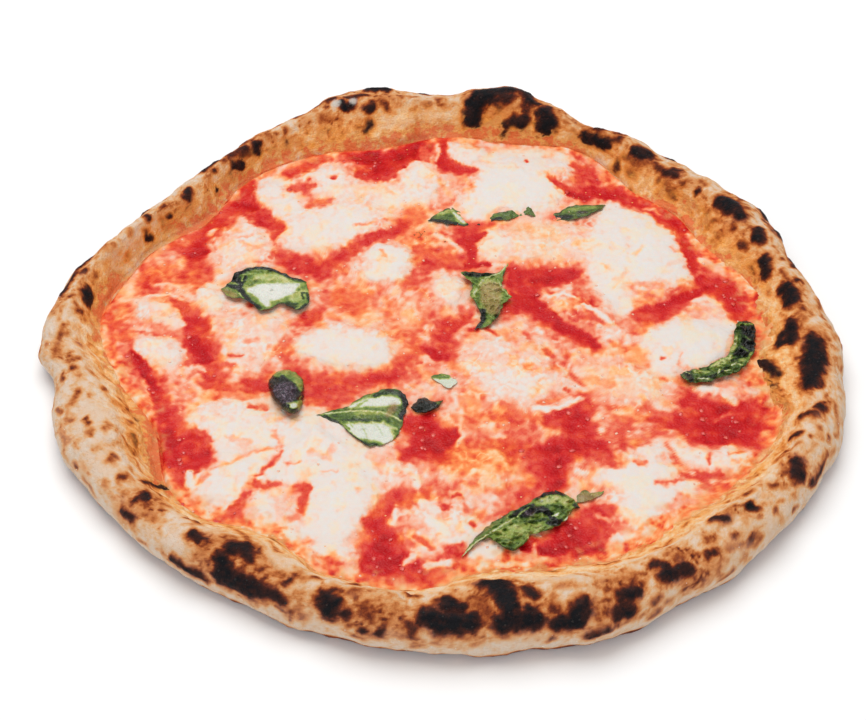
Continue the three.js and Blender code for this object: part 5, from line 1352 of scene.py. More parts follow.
def rim_measures():
    """Foot, outline and crest of the rim of the frame at every column."""
    x, y, z = node_places("crust").T
    angles = turn_of(x, y)
    radii = np.hypot(x, y)
    steps = np.arange(90) * 4.0
    rows = []
    for step in steps:
        here = (apart(angles, step) < 0.3) & (radii > 20)
        top = np.argmax(np.where(here, z, -1))
        outline = radii[here].max()
        foot = (radii[top] - CREST_SHARE * outline) / (1 - CREST_SHARE)
        rows.append((foot, outline, z[top]))
    foot, outline, crest = np.array(rows).T
    turns = np.arange(RIM_COLUMNS) * 360 / RIM_COLUMNS
    foot, outline, crest = (by_angle(steps, values, turns) for values in (foot, outline, crest))
    summit = foot + (outline - foot) * CREST_SHARE
    circle = 130 * np.stack((np.cos(np.radians(turns)), np.sin(np.radians(turns))), -1)
    wander = 1.6 * clouds(circle, 16, 700) + 1.1 * clouds(circle, 7, 701) + 0.5 * clouds(circle, 3.2, 702)
    return turns, foot - dough_slope(turns) + wander, summit, outline, crest


def dough_slope(turns):
    """How far the dough's inner slope runs in over the floor at angles in degrees."""
    angles, reach = np.array(DOUGH_SLOPE).T
    return by_angle(angles, reach, turns)


def crust_grid():
    """The crust as rows of rings, from the middle of the floor over the rim to the underside."""
    turns, foot, summit, outline, crest = rim_measures()
    rows = []
    travel = []
    for share in (0.3, 0.6, 0.85, 0.94, 0.98):
        rows.append((foot * share, np.full(RIM_COLUMNS, FLOOR)))
        travel.append(0.0)
    waist = crest * WAIST_SHARE
    sole = outline - UNDERCUT
    for step in range(RIM_STEPS + 1):
        share = step / RIM_STEPS
        across = 0.55 * (1 - math.cos(share * np.pi / 2)) + 0.45 * share
        round_up = math.sqrt(1 - (1 - across) ** 2)
        slow_up = across * across * (3 - 2 * across)
        up = 0.2 * round_up + 0.8 * slow_up
        rows.append((foot + (summit - foot) * across, FLOOR + (crest - FLOOR) * up))
        travel.append(share)
    for step in range(1, RIM_STEPS + 1):
        turn = step / RIM_STEPS * np.pi / 2
        down = 1 - math.cos(turn)
        rows.append((summit + (outline - summit) * math.sin(turn), crest + (waist - crest) * down))
        travel.append(1 + step / RIM_STEPS)
    for step in range(1, SOLE_STEPS + 1):
        turn = step / SOLE_STEPS * np.pi / 2
        rows.append((outline + (sole - outline) * (1 - math.cos(turn)), waist * (1 - math.sin(turn))))
        travel.append(2 + step / SOLE_STEPS)
    for share in (0.96, 0.85, 0.6, 0.3):
        rows.append((sole * share, np.zeros(RIM_COLUMNS)))
        travel.append(3.2)
    radius = np.array([row[0] for row in rows])
    height = np.array([row[1] for row in rows])
    angle = np.radians(turns)[None, :]
    places = np.stack((radius * np.cos(angle), radius * np.sin(angle), height), -1)
    travel = np.repeat(np.array(travel)[:, None], RIM_COLUMNS, 1)
    inward = radius - foot[None, :]
    return places, travel, inward


def crust_faces(rows):
    """Quads between the rings, and fans that close both middles."""
    faces = [face[::-1] for face in grid_faces(rows, RIM_COLUMNS, closed=True)]
    top = rows * RIM_COLUMNS
    last = (rows - 1) * RIM_COLUMNS
    for column in range(RIM_COLUMNS):
        after = (column + 1) % RIM_COLUMNS
        faces.append([top, column, after])
        faces.append([top + 1, last + after, last + column])
    return faces


def seat(tree, x, y):
    """The place on the crust that is seen at (x, y) of the level at the reading height."""
    for step in range(30):
        shrink = 1 - step * 0.006
        level = Vector(to_metres((x * shrink, y * shrink, READ_HEIGHT)))
        hit = tree.ray_cast(CAMERA_PLACE, (level - CAMERA_PLACE).normalized())[0]
        if hit:
            place = np.array(hit) * METRE
            place[:2] -= MIDDLE
            return place
    raise RuntimeError(f"nothing of the crust is seen at {x}, {y}")


def seat_stroke(tree, numbers):
    """The points of a stroke, where they are seen on the crust."""
    return np.array([(*seat(tree, x, y), width) for x, y, width in points_of(numbers)])


def laid(tree, places, strokes, margin, low, high):
    """Where strokes lie on the crust, from 0 outside them to 1 inside."""
    cover = np.zeros(places.shape[:-1])
    for numbers in strokes:
        stroke = seat_stroke(tree, numbers)
        here = near(places, stroke, margin)
        cover[here] = np.maximum(cover[here], smooth(low, high, stroke_depth(places[here], stroke)))
    return cover


def near(places, stroke, margin):
    """Which places lie close enough to a stroke to matter."""
    reach = stroke[:, 3].max() + margin
    low = stroke[:, :3].min(0) - reach
    high = stroke[:, :3].max(0) + reach
    return np.all((places > low) & (places < high), axis=-1)


def hidden_scorches(places, travel):
    """Scorches on the sides that the lists don't reach, and speckles all round."""
    random = np.random.default_rng(12)
    rings = travel[:, 0]
    strokes = []
    for kind, count in (("rear", 64), ("speckle", 640)):
        for _ in range(count):
            if kind == "rear":
                angle = random.uniform(20, 160)
                level = random.uniform(1.62, 2.6)
                width = random.uniform(1.4, 4.2)
                dark = random.uniform(0.75, 1.0)
            else:
                angle = random.uniform(0, 360)
                level = random.choice((random.uniform(0.35, 1.2), random.uniform(1.0, 2.0)))
                width = random.uniform(0.3, 1.2)
                dark = random.uniform(0.36, 0.74)
            row = int(np.argmin(np.abs(rings - level)))
            column = int(angle / 360 * RIM_COLUMNS) % RIM_COLUMNS
            start = places[row, column]
            row = min(row + int(random.integers(0, 4)), len(rings) - 6)
            column = (column + int(random.integers(-6, 7))) % RIM_COLUMNS
            end = start + (places[row, column] - start) * 0.6
            strokes.append((dark, np.array(((*start, width), (*end, width * 0.7)))))
    return strokes


def crust_values(places, travel, inward):
    """How baked, raised, floury and oily the crust is at each vertex."""
    tree = BVHTree.FromPolygons(
        [Vector(place) for place in to_metres(places.reshape(-1, 3))],
        grid_faces(places.shape[0], RIM_COLUMNS, closed=True),
    )
    bent = places + np.stack([
        0.9 * layered(places, 5.0, seed, 2) + 0.22 * clouds(places, 1.8, seed + 7) for seed in (210, 220, 230)
    ], -1)
    rim = smooth(0.02, 0.3, travel) * smooth(3.05, 2.7, travel)
    patches = smooth(-0.3, 0.7, layered(places, 9.0, 300, 3, 0.7))
    mottles = smooth(-0.1, 0.6, layered(places, 4.2, 310, 3, 0.6))
    freckles = smooth(0.25, 0.5, layered(places, 2.2, 315, 2, 0.5))
    # The inner wall gets more ochre and fewer mottles here. The material also paints it lighter, as painted
    # light against the shade on its slope.
    wall = smooth(1.0, 0.55, travel) * rim
    ochre = smooth(0.05, 0.5, layered(places, 3.4, 316, 3, 0.7))
    baked = 0.03 + 0.15 * patches + (1 - 0.3 * wall) * (0.16 * mottles + 0.14 * freckles)
    baked = baked + 0.05 * layered(places, 1.6, 320, 2)
    baked = baked + 0.14 * ochre * wall
    baked = baked - 0.07 * smooth(1.5, 2.3, travel)
    for value, *numbers in BAKED:
        stroke = seat_stroke(tree, numbers)
        here = near(bent, stroke, 8)
        share = smooth(-4.0, 3.0, stroke_depth(bent[here], stroke)) * 0.8
        baked[here] += (value - baked[here]) * share
    # Scorches blacken, raise and warm the dough round them.
    raised = np.zeros(travel.shape)
    warmth = np.zeros(travel.shape)
    scorch = np.zeros(travel.shape)
    blotch = layered(places, 3.0, 395, 3, 0.7)
    strokes = [(dark, seat_stroke(tree, numbers)) for dark, *numbers in SCORCHES]
    for dark, stroke in strokes + hidden_scorches(places, travel):
        here = near(bent, stroke, 10)
        depth = stroke_depth(bent[here], stroke)
        wide = min(stroke[:, 3].max(), 4.5)
        edge = 1.5 + 0.65 * wide
        share = smooth(-edge * 1.1, edge * 0.9, depth + 0.16 * edge * blotch[here] + 0.5 + 0.15 * wide)
        scorch[here] = np.maximum(scorch[here], dark * share)
        glow = smooth(-2.2 - 1.5 * wide, 0.5, depth) * min(1.0, 0.35 + 0.28 * wide)
        warmth[here] = warmth[here] + glow * (1 - warmth[here]) * 0.75
        raised[here] = np.maximum(raised[here], smooth(-1.5, 2.5, depth) * smooth(0.55, 1.0, dark))
    baked = baked + warmth * (0.08 + 0.36 * smooth(-0.4, 0.8, blotch)) * (1 - smooth(0.4, 0.7, baked))
    scorch = scorch * (1 + 0.10 * blotch)
    baked = baked + (np.maximum(scorch, baked) - baked) * smooth(0.0, 0.25, scorch)
    ash = laid(tree, places, ASHES, 3, -0.7, 0.5)
    dent = laid(tree, bent, CREASES, 5, -1.6, 0.6)
    # Flour clings outside, the foot and the underside are browned, and oil and sauce stain the inner slope.
    flour = smooth(1.25, 2.2, travel + 0.25 * layered(places, 9, 345)) * smooth(3.3, 2.9, travel)
    flour = flour * (0.8 + 0.5 * layered(places, 9, 340, 2))
    flour = flour + 0.5 * smooth(0.2, 0.9, layered(places, 8, 348, 2)) * rim
    flour = np.clip(flour, 0, 1) * (1 - 0.7 * warmth)
    sole = smooth(2.27, 2.47, travel + 0.08 * layered(places, 6, 350, 2))
    under = smooth(3.0, 3.1, travel)
    baked = np.maximum(baked, sole * (0.66 + 0.10 * layered(places, 5, 360)) * (1 - under))
    flour = flour * (1 - sole)
    baked = baked + under * (0.42 + 0.35 * smooth(0.1, 0.8, layered(places, 11, 370)) - baked)
    wet = smooth(12.0, 1.0, inward + 6.0 * layered(places, 9, 380)) * smooth(1.0, 0.5, travel)
    stain = smooth(6.5, -0.5, inward + 6.0 * layered(places, 6, 390, 4, 0.7)) * smooth(0.9, 0.3, travel)
    turn = turn_of(places[..., 0], places[..., 1])
    for middle, half in CLEAN_WALL:
        stain = stain * (1 - 0.8 * smooth(half, 0.5 * half, np.abs(turn - middle)))
    return {
        "baked": np.clip(baked, 0, 1), "raised": raised, "ash": ash, "dent": dent, "rim": rim,
        "flour": flour, "wet": np.clip(wet, 0, 1), "stain": np.clip(stain, 0, 1), "wall": wall,
    }


def crust_tree():
    """Swells, wrinkles, blisters and creases the dough along its normals."""
    sizes = ("Swell", "Swell size", "Wrinkle", "Wrinkle size", "Grain", "Grain size", "Blister", "Crease")
    inputs = dict.fromkeys(sizes, "NodeSocketFloat") | {"Material": "NodeSocketMaterial"}
    bench, wires, exit_node = new_tree("Crust relief", inputs)

    def lumps(size, amount, detail):
        place = bench.add("GeometryNodeInputPosition")
        scale = bench.math("DIVIDE", 1.0, size)
        raw = bench.add("ShaderNodeTexNoise", None, {"Vector": place, "Scale": scale, "Detail": detail})
        return (raw - 0.5) * 3.0 * amount

    def layer(name):
        return bench.add("GeometryNodeInputNamedAttribute", {"data_type": "FLOAT"}, {"Name": name})

    push = lumps(wires["Swell size"], wires["Swell"], 1.0)
    push = push + lumps(wires["Wrinkle size"], wires["Wrinkle"], 2.0)
    push = push + lumps(wires["Grain size"], wires["Grain"], 2.0)
    push = push * layer("rim")
    push = push + layer("raised") * wires["Blister"] - layer("dent") * wires["Crease"]
    normal = bench.add("GeometryNodeInputNormal")
    offset = bench.add("ShaderNodeVectorMath", {"operation": "SCALE"}, {0: normal, "Scale": push})
    moved = bench.add("GeometryNodeSetPosition", None, {"Geometry": wires["Geometry"], "Offset": offset})
    whole = bench.add("GeometryNodeRealizeInstances", None, {"Geometry": moved})
    done = bench.add("GeometryNodeSetMaterial", None, {"Geometry": whole, "Material": wires["Material"]})
    join(bench, done, exit_node.inputs["Geometry"])
    return bench.tree


def crust_material():
    """Baked dough: pale to golden to black, with flour outside, oil towards the sauce, and its inner wall
    tinted ochre and painted lighter against its shade.
    """
    baking = (
        (0.00, 234, 213, 194), (0.11, 234, 201, 172), (0.21, 233, 187, 143), (0.31, 230, 167, 112),
        (0.40, 220, 143, 84), (0.49, 198, 116, 62), (0.58, 162, 80, 40), (0.68, 112, 48, 30),
        (0.80, 66, 33, 26), (1.00, 19, 19, 23),
    )
    material, bench, shader = new_material(
        "baked crust", 0.8, Subsurface_Weight=0.08, Subsurface_Scale=0.0012,
        Subsurface_Radius=(1.0, 0.55, 0.3), Specular_IOR_Level=0.10, Coat_Roughness=0.3,
    )
    place = bench.add("ShaderNodeTexCoord", out="Object")
    coarse = bench.noise(place, 3.2, 3.0, 0.6)
    fine = bench.noise(place, 1.1, 3.0, 0.6)
    grain = bench.noise(place, 0.45, 2.0)
    baked = bench.attribute("baked")
    dark = bench.between(baked, 0.55, 0.85)
    shade = bench.held(baked + coarse * 0.09 + fine * 0.065 + grain * 0.01)
    colour = bench.ramp(shade, baking)
    flour = bench.attribute("flour") * (1 - dark) * bench.held(0.55 + coarse * 0.4 + fine * 0.2)
    colour = bench.blend(flour * 0.6, colour, surface(233, 211, 188))
    wet = bench.attribute("wet") * (1 - dark)
    colour = bench.blend(wet * bench.held(0.36 + coarse * 0.5), colour, surface(232, 162, 78))
    # The inner wall is multiplied yellower, which is the dough's own ochre, and lighter, which is painted
    # light against the shade on its slope.
    colour = bench.blend(bench.attribute("wall") * (1 - dark), colour, (1.265, 1.215, 0.965, 1), "MULTIPLY")
    stain = bench.held(bench.attribute("stain") * (1.0 + coarse * 0.6 + fine * 0.4)) * (1 - dark)
    stained = bench.blend(bench.between(stain, 0.45, 0.95), surface(238, 166, 92), surface(236, 116, 66))
    colour = bench.blend(bench.between(stain, 0.0, 0.5) * 0.85, colour, stained)
    ash = bench.attribute("ash") * bench.held(0.9 + fine * 0.4)
    colour = bench.blend(ash, colour, surface(214, 206, 196))
    join(bench, colour, shader.inputs["Base Color"])
    join(bench, bench.held(0.86 - wet * 0.14 - dark * 0.18 + fine * 0.05), shader.inputs["Roughness"])
    join(bench, bench.held(wet * 0.05 + dark * 0.04), shader.inputs["Coat Weight"])
    height = coarse * 0.5 + fine * 0.5 + grain * 0.3 + dark * fine * 0.6
    bench.bump(shader, 0.65, 0.0009, height)
    return material


def build_crust(settings):
    """The baked disc with its rim."""
    places, travel, inward = crust_grid()
    middles = ((0, 0, FLOOR), (0, 0, 0.0))
    vertices = np.concatenate((places.reshape(-1, 3), middles))
    values = {
        key: np.append(numbers, (0.3, 0.4) if key == "baked" else (0, 0))
        for key, numbers in crust_values(places, travel, inward).items()
    }
    piece = mesh_object("baked_crust", vertices, crust_faces(places.shape[0]), values)
    run_nodes(piece, crust_tree(), {
        "Swell": settings.swell, "Swell size": 0.020, "Wrinkle": settings.wrinkle, "Wrinkle size": 0.007,
        "Grain": settings.grain, "Grain size": 0.0022, "Blister": settings.blister, "Crease": settings.crease,
        "Material": crust_material(),
    })
    heights = np.empty(len(piece.data.vertices) * 3, np.float32)
    piece.data.vertices.foreach_get("co", heights)
    heights[2::3] = np.maximum(heights[2::3], 0)
    piece.data.vertices.foreach_set("co", heights)
    piece.data.update()
    return piece


# ---- Basil ----

def rib_curve(numbers, shares):
    """Places along a smooth line through points."""
    points = points_of(numbers, 2)
    count = len(points) - 1
    spot = np.clip(shares, 0, 1) * count
    slot = np.minimum(spot.astype(int), count - 1)
    share = (spot - slot)[:, None]
    before = points[np.maximum(slot - 1, 0)]
    start = points[slot]
    end = points[slot + 1]
    after = points[np.minimum(slot + 2, count)]
    first = (end - before) * 0.5
    last = (after - start) * 0.5
    bend = 2 * start - 2 * end + first + last
    turn = -3 * start + 3 * end - 2 * first - last
    return bend * share**3 + turn * share**2 + first * share + start


def as_seen(places):
    """Where places appear on the level that the leaves are laid out on."""
    eye = np.array(CAMERA_PLACE) * METRE
    eye[:2] -= MIDDLE
    way = places - eye
    share = (LEAF_HEIGHT - eye[2]) / way[..., 2]
    return (eye + way * share[..., None])[..., :2]


def build_leaf(number, leaf):
    """One leaf: a thin crumpled sheet between its two edges, lying on or half under the cheese."""
    field = topping()
    rows = LEAF_ROWS
    columns = LEAF_COLUMNS
    along = np.linspace(0, 1, columns)
    far = rib_curve(leaf["far"], along)
    near_edge = rib_curve(leaf["near"], along)
    t = np.linspace(-1, 1, rows)[None, :, None]
    plan = far[:, None, :] * (1 + t) / 2 + near_edge[:, None, :] * (1 - t) / 2
    t = np.repeat(t[..., 0], columns, 0)
    s = np.repeat(along[:, None], rows, 1)
    sway = np.stack([0.6 * clouds(plan, 2.6, seed + number) for seed in (480, 490)], -1)
    plan = plan + sway * np.abs(t)[..., None]
    width = np.linalg.norm(far - near_edge, axis=1)[:, None] / 2
    width = np.maximum(width, 0.2)
    length = np.linalg.norm(np.diff((far + near_edge) / 2, axis=0), axis=1).sum()
    to_rim = np.minimum((1 - np.abs(t)) * width, np.minimum(s, 1 - s) * length)
    lift = np.interp(s, *points_of(leaf["lift"], 2).T)
    ridges = 1 - np.abs(layered(plan, 6.0, 520 + number, 2)) * 2.2
    small = 1 - np.abs(layered(plan, 2.6, 540 + number, 2)) * 2.2
    lumps = clouds(plan, 9.0, 560 + number)
    narrow = np.clip(width / 4, 0.15, 1)
    rise = (
        lift + leaf["cup"] * np.abs(t) ** 2.4 * (0.7 + 0.5 * lumps) * narrow
        + leaf["dome"] * np.sqrt(np.clip(1 - 0.95 * t * t, 0, 1)) * np.clip(1 - (2 * s - 1) ** 6, 0, 1)
        + leaf["fold"] * (0.50 * ridges + 0.36 * small) * narrow - leaf["lean"] * t
    )
    ground = smooth_ground()
    top = field.read(ground, plan[..., 0], plan[..., 1]) + rise
    slant = 1 / math.tan(CAMERA_TILT)
    moved = plan - np.stack((np.zeros_like(top), (top - LEAF_HEIGHT) * slant), -1)
    top = field.read(ground, moved[..., 0], moved[..., 1]) + rise
    upper = np.concatenate((moved, top[..., None]), -1)
    thin = LEAF_THICKNESS * np.clip(to_rim / 0.8, 0.25, 1)
    lower = upper - np.stack((np.zeros_like(top), np.zeros_like(top), thin), -1)
    seen = as_seen(upper)
    seen = seen + np.stack([0.3 * layered(plan, 1.6, seed, 2) for seed in (580, 590)], -1)
    shade = np.full(top.shape, 0.4)
    for value, softness, *numbers in leaf["paint"]:
        share = smooth(-softness, softness, stroke_depth(seen, points_of(numbers)))
        shade += (value - shade) * share
    rim_line = smooth(0.9, 0.1, to_rim + 0.4 * clouds(plan, 3.0, 600 + number))
    rim_line = rim_line * (1 - smooth(0.74, 0.92, shade))
    shade += (0.16 - shade) * rim_line * (0.08 + 0.55 * smooth(-0.1, 0.6, clouds(plan, 7.0, 610 + number)))
    values = {"shade": shade}
    for name in ("brown", "purple"):
        values[name] = smooth(-1.2, 1.2, stroke_depth(seen, points_of(leaf[name])))
    # Where the folds crest and sink. The material paints crests lighter and hollows darker: painted light and
    # shade.
    values["relief"] = 0.5 + 0.5 * np.clip(ridges * 0.6 + small * 0.5 - 0.2, -1, 1)
    values = {key: np.tile(numbers.ravel(), 2) for key, numbers in values.items()}
    count = rows * columns
    sheet = grid_faces(columns, rows)
    faces = [face[::-1] for face in sheet] + [[corner + count for corner in face] for face in sheet]
    ring = (
        [column * rows for column in range(columns)]
        + [(columns - 1) * rows + row for row in range(1, rows)]
        + [column * rows + rows - 1 for column in range(columns - 2, -1, -1)]
        + [row for row in range(rows - 2, 0, -1)]
    )
    for here, after in zip(ring, ring[1:] + ring[:1]):
        faces.append([here, after, after + count, here + count])
    vertices = np.concatenate((upper.reshape(-1, 3), lower.reshape(-1, 3)))
    piece = mesh_object(f"basil_leaf_{number}", vertices, faces, values)
    shell = bmesh.new()
    shell.from_mesh(piece.data)
    bmesh.ops.remove_doubles(shell, verts=shell.verts, dist=0.00001)
    bmesh.ops.recalc_face_normals(shell, faces=shell.faces)
    shell.to_mesh(piece.data)
    shell.free()
    return piece


@functools.cache
def smooth_ground():
    """The surface that the leaves lie on, without its small lumps."""
    return soften(topping().height, 2.2)


def basil_material():
    """Wilted leaf: scorched, green or under a film of cheese, and glossy, with painted highlights and painted
    light and shade on its folds.
    """
    material, bench, shader = new_material(
        "wilted basil", 0.4, Subsurface_Weight=0.05, Subsurface_Scale=0.001, Specular_IOR_Level=0.3,
        Coat_Roughness=0.08,
    )
    place = bench.add("ShaderNodeTexCoord", out="Object")
    coarse = bench.noise(place, 4.0, 3.0, 0.6)
    fine = bench.noise(place, 1.3, 3.0, 0.65)
    grain = bench.noise(place, 0.5, 2.0)
    raw = bench.attribute("shade")
    relief = bench.attribute("relief")
    leafy = bench.between(raw, 0.15, 0.4) * (1 - bench.between(raw, 0.72, 0.9))
    # Painted light and shade: the fold crests are painted lighter and the fold hollows darker.
    shade = raw + leafy * (coarse * 0.09 + fine * 0.03 + (relief - 0.6) * 0.18) + fine * 0.03
    colour = bench.ramp(bench.held(shade), (
        (0.00, 8, 8, 10), (0.12, 22, 26, 18), (0.28, 48, 70, 28), (0.45, 98, 126, 50),
        (0.60, 146, 166, 76), (0.75, 188, 198, 126), (0.88, 214, 220, 198), (1.00, 236, 234, 226),
    ))
    warm = bench.between(coarse, -0.2, 0.4) * 0.8 * leafy
    colour = bench.blend(warm, colour, (1.12, 0.94, 0.72, 1), "MULTIPLY")
    brown = bench.attribute("brown") * bench.held(0.62 + fine * 0.3)
    colour = bench.blend(brown, colour, surface(170, 128, 78))
    specks = bench.between(fine + grain * 0.4, 0.02, 0.3)
    netted = bench.blend(specks * 0.55, surface(44, 26, 40), surface(150, 128, 146))
    colour = bench.blend(bench.attribute("purple") * 0.9, colour, netted)
    join(bench, colour, shader.inputs["Base Color"])
    # Pale rows, the cheese film and the painted highlights alike, are made rougher and carry less coat.
    film = bench.between(raw, 0.75, 0.95)
    join(bench, bench.held(0.30 + fine * 0.08 + film * 0.15), shader.inputs["Roughness"])
    join(bench, bench.held(0.32 + coarse * 0.4 - film * 0.3), shader.inputs["Coat Weight"])
    bench.bump(shader, 0.6, 0.0007, coarse * 0.8 + fine * 0.7 + grain * 0.2)
    return material


# ---- Crumbs and beads ----

# For each kind of small bits: its name, its slot, its material with two colours, roughness and coat, its
# least and largest size, flatness, roughness and facets, the setting that says how many lie on a square
# metre, and its place among the seeds.
CRUMBS = (
    ("burnt_specks", "cheese", ("burnt specks", (176, 104, 44), (84, 56, 28), 0.6, 0.0),
     (0.0002, 0.00055, 0.4, 1.6, 1), "specks", 5),
    ("tomato_pulp", "sauce", ("tomato pulp", (206, 36, 38), (232, 86, 66), 0.28, 0.6),
     (0.0004, 0.0013, 0.25, 1.6, 2), "pulp", 0),
    ("curd_flecks", "cheese", ("curd flecks", (246, 206, 182), (244, 164, 128), 0.42, 0.15),
     (0.0003, 0.0007, 0.16, 1.8, 2), "curd", 1),
    ("oil_beads", "sauce", ("oil", (246, 146, 70), (248, 178, 96), 0.12, 1.0),
     (0.0002, 0.00045, 0.2, 0.8, 2), "oil", 2),
    ("char_flakes", "crust", ("char", (22, 24, 26), (48, 36, 32), 0.8, 0.0),
     (0.0002, 0.0006, 0.25, 1.6, 1), "flakes", 3),
    ("flour_grains", "crust", ("flour", (240, 230, 216), (226, 210, 190), 0.9, 0.0),
     (0.00012, 0.00035, 0.6, 0.8, 1), "flour", 4),
)


def scatter_tree():
    """Strews small lumps over a surface where a mask is high."""
    bench, wires, exit_node = new_tree("Strewn lumps", {
        "Density": "NodeSocketFloat", "Smallest": "NodeSocketFloat", "Largest": "NodeSocketFloat",
        "Flatness": "NodeSocketFloat", "Roughness": "NodeSocketFloat", "Facets": "NodeSocketInt",
        "Seed": "NodeSocketInt", "Material": "NodeSocketMaterial",
    })
    mask = bench.add("GeometryNodeInputNamedAttribute", {"data_type": "FLOAT"}, {"Name": "strewn"})
    tree = bench.tree
    points = tree.nodes.new("GeometryNodeDistributePointsOnFaces")
    tree.links.new(wires["Geometry"].socket, points.inputs["Mesh"])
    tree.links.new((mask * wires["Density"]).socket, points.inputs["Density"])
    tree.links.new(wires["Seed"].socket, points.inputs["Seed"])
    lump = bench.add("GeometryNodeMeshIcoSphere", None, {"Radius": 1.0, "Subdivisions": wires["Facets"]})
    place = bench.add("GeometryNodeInputPosition")
    swell = bench.add("ShaderNodeTexNoise", None, {"Vector": place, "Scale": 1.3, "Detail": 1.0})
    amount = (swell - 0.5) * wires["Roughness"]
    push = bench.add("ShaderNodeVectorMath", {"operation": "SCALE"}, {0: place, "Scale": amount})
    lump = bench.add("GeometryNodeSetPosition", None, {"Geometry": lump, "Offset": push})
    squash = bench.add("ShaderNodeCombineXYZ", None, {"X": 1.0, "Y": 0.8, "Z": wires["Flatness"]})
    lump = bench.add("GeometryNodeTransform", None, {"Geometry": lump, "Scale": squash})
    lump = bench.add("GeometryNodeSetShadeSmooth", None, {"Geometry": lump})
    size = bench.add(
        "FunctionNodeRandomValue", {"data_type": "FLOAT"},
        {2: wires["Smallest"], 3: wires["Largest"], "Seed": wires["Seed"]}, out=1,
    )
    spin = bench.add(
        "FunctionNodeRandomValue", {"data_type": "FLOAT"}, {2: 0.0, 3: math.tau, "Seed": 5}, out=1,
    )
    turn = bench.add("ShaderNodeCombineXYZ", None, {"Z": spin})
    upright = Wire(bench, points.outputs["Rotation"])
    turned = bench.add("FunctionNodeEulerToRotation", None, {0: turn})
    around = bench.add("FunctionNodeRotateRotation", {"rotation_space": "LOCAL"}, {0: upright, 1: turned})
    spots = Wire(bench, points.outputs["Points"])
    strewn = bench.add(
        "GeometryNodeInstanceOnPoints", None,
        {"Points": spots, "Instance": lump, "Rotation": around, "Scale": size},
    )
    whole = bench.add("GeometryNodeRealizeInstances", None, {"Geometry": strewn})
    done = bench.add("GeometryNodeSetMaterial", None, {"Geometry": whole, "Material": wires["Material"]})
    join(bench, done, exit_node.inputs["Geometry"])
    return bench.tree


def strew(name, carrier, mask, material, tree, **sizes):
    """Strews one kind of lump over a piece, by a mask on its vertices."""
    piece = bpy.data.objects.new(name, carrier.data.copy())
    bpy.context.scene.collection.objects.link(piece)
    layer = piece.data.attributes.new("strewn", "FLOAT", "POINT")
    layer.data.foreach_set("value", np.asarray(mask, np.float32))
    labels = {key.replace("_", " ").capitalize(): value for key, value in sizes.items()}
    run_nodes(piece, tree, labels | {"Material": material})
    if not piece.data.polygons:
        raise RuntimeError(f"{name} came out empty")
    for key in ("strewn", "tone", "oil", "baked"):
        if key in piece.data.attributes:
            piece.data.attributes.remove(piece.data.attributes[key])
    return piece


def vertex_values(piece, name):
    """The numbers that a piece carries on its vertices under a name."""
    layer = piece.data.attributes[name]
    values = np.empty(len(piece.data.vertices), np.float32)
    layer.data.foreach_get("value", values)
    return values


def vertex_places(piece):
    """The vertices of a piece, in metres."""
    places = np.empty(len(piece.data.vertices) * 3, np.float32)
    piece.data.vertices.foreach_get("co", places)
    return places.reshape(-1, 3)


def crumb_masks(sauce, crust):
    """Where each kind of small bits lies, on the vertices of the piece that it is strewn over."""
    field = topping()
    tone = vertex_values(sauce, "tone")
    places = vertex_places(sauce)
    x = places[:, 0] * METRE - MIDDLE[0]
    y = places[:, 1] * METRE - MIDDLE[1]
    bare = (1 - smooth(0.3, 0.7, field.read(field.covered, x, y))) * (places[:, 2] > 0.0045)
    inner = smooth(132, 124, np.hypot(x, y))
    spots = np.zeros(len(x))
    for left, front, width in BURNT_SPECKS:
        spots = np.maximum(spots, smooth(width, 0.3 * width, np.hypot(x - left, y - front)))
    baked = vertex_values(crust, "baked")
    heights = vertex_places(crust)[:, 2]
    return {
        "burnt_specks": spots,
        "tomato_pulp": (1 - smooth(0.12, 0.42, tone)) * bare * inner,
        "curd_flecks": smooth(0.35, 0.6, tone) * bare * inner,
        "oil_beads": bare * inner,
        "char_flakes": smooth(0.78, 0.95, baked) * (heights > 0.006),
        "flour_grains": vertex_values(crust, "flour") * (1 - smooth(0.4, 0.6, baked)) * (heights > 0.0015),
    }


def crumb_material(name, first, second, roughness, coat):
    """Two colours run into each other, under more or less of a coat."""
    material, bench, shader = new_material(
        name, roughness, Specular_IOR_Level=0.4, Coat_Weight=coat, Coat_Roughness=0.12,
    )
    place = bench.add("ShaderNodeTexCoord", out="Object")
    share = bench.held(0.5 + bench.noise(place, 14.0, 2.0) * 0.6 + bench.noise(place, 1.5, 2.0) * 0.3)
    join(bench, bench.blend(share, surface(*first), surface(*second)), shader.inputs["Base Color"])
    bench.bump(shader, 0.3, 0.0003, bench.noise(place, 0.6, 2.0))
    return material


# ---- Settings ----

class CrustSettings(bpy.types.PropertyGroup):
    swell: FloatProperty(
        name="Swell", description="Height of the dough's broad swells", default=0.0016, unit="LENGTH"
    )
    wrinkle: FloatProperty(
        name="Wrinkle", description="Height of the dough's wrinkles", default=0.0006, unit="LENGTH"
    )
    grain: FloatProperty(
        name="Grain", description="Height of the skin's grain", default=0.00012, unit="LENGTH"
    )
    blister: FloatProperty(
        name="Blister", description="How far scorched blisters stand up", default=0.0009, unit="LENGTH"
    )
    crease: FloatProperty(name="Crease", description="Depth of the folds", default=0.0012, unit="LENGTH")


class ToppingSettings(bpy.types.PropertyGroup):
    overlap: FloatProperty(
        name="Overlap", description="How far the tomato runs up the dough", default=0.0030, unit="LENGTH"
    )
    lift: FloatProperty(
        name="Lift", description="How far a pool lies above the tomato", default=0.00003, unit="LENGTH"
    )


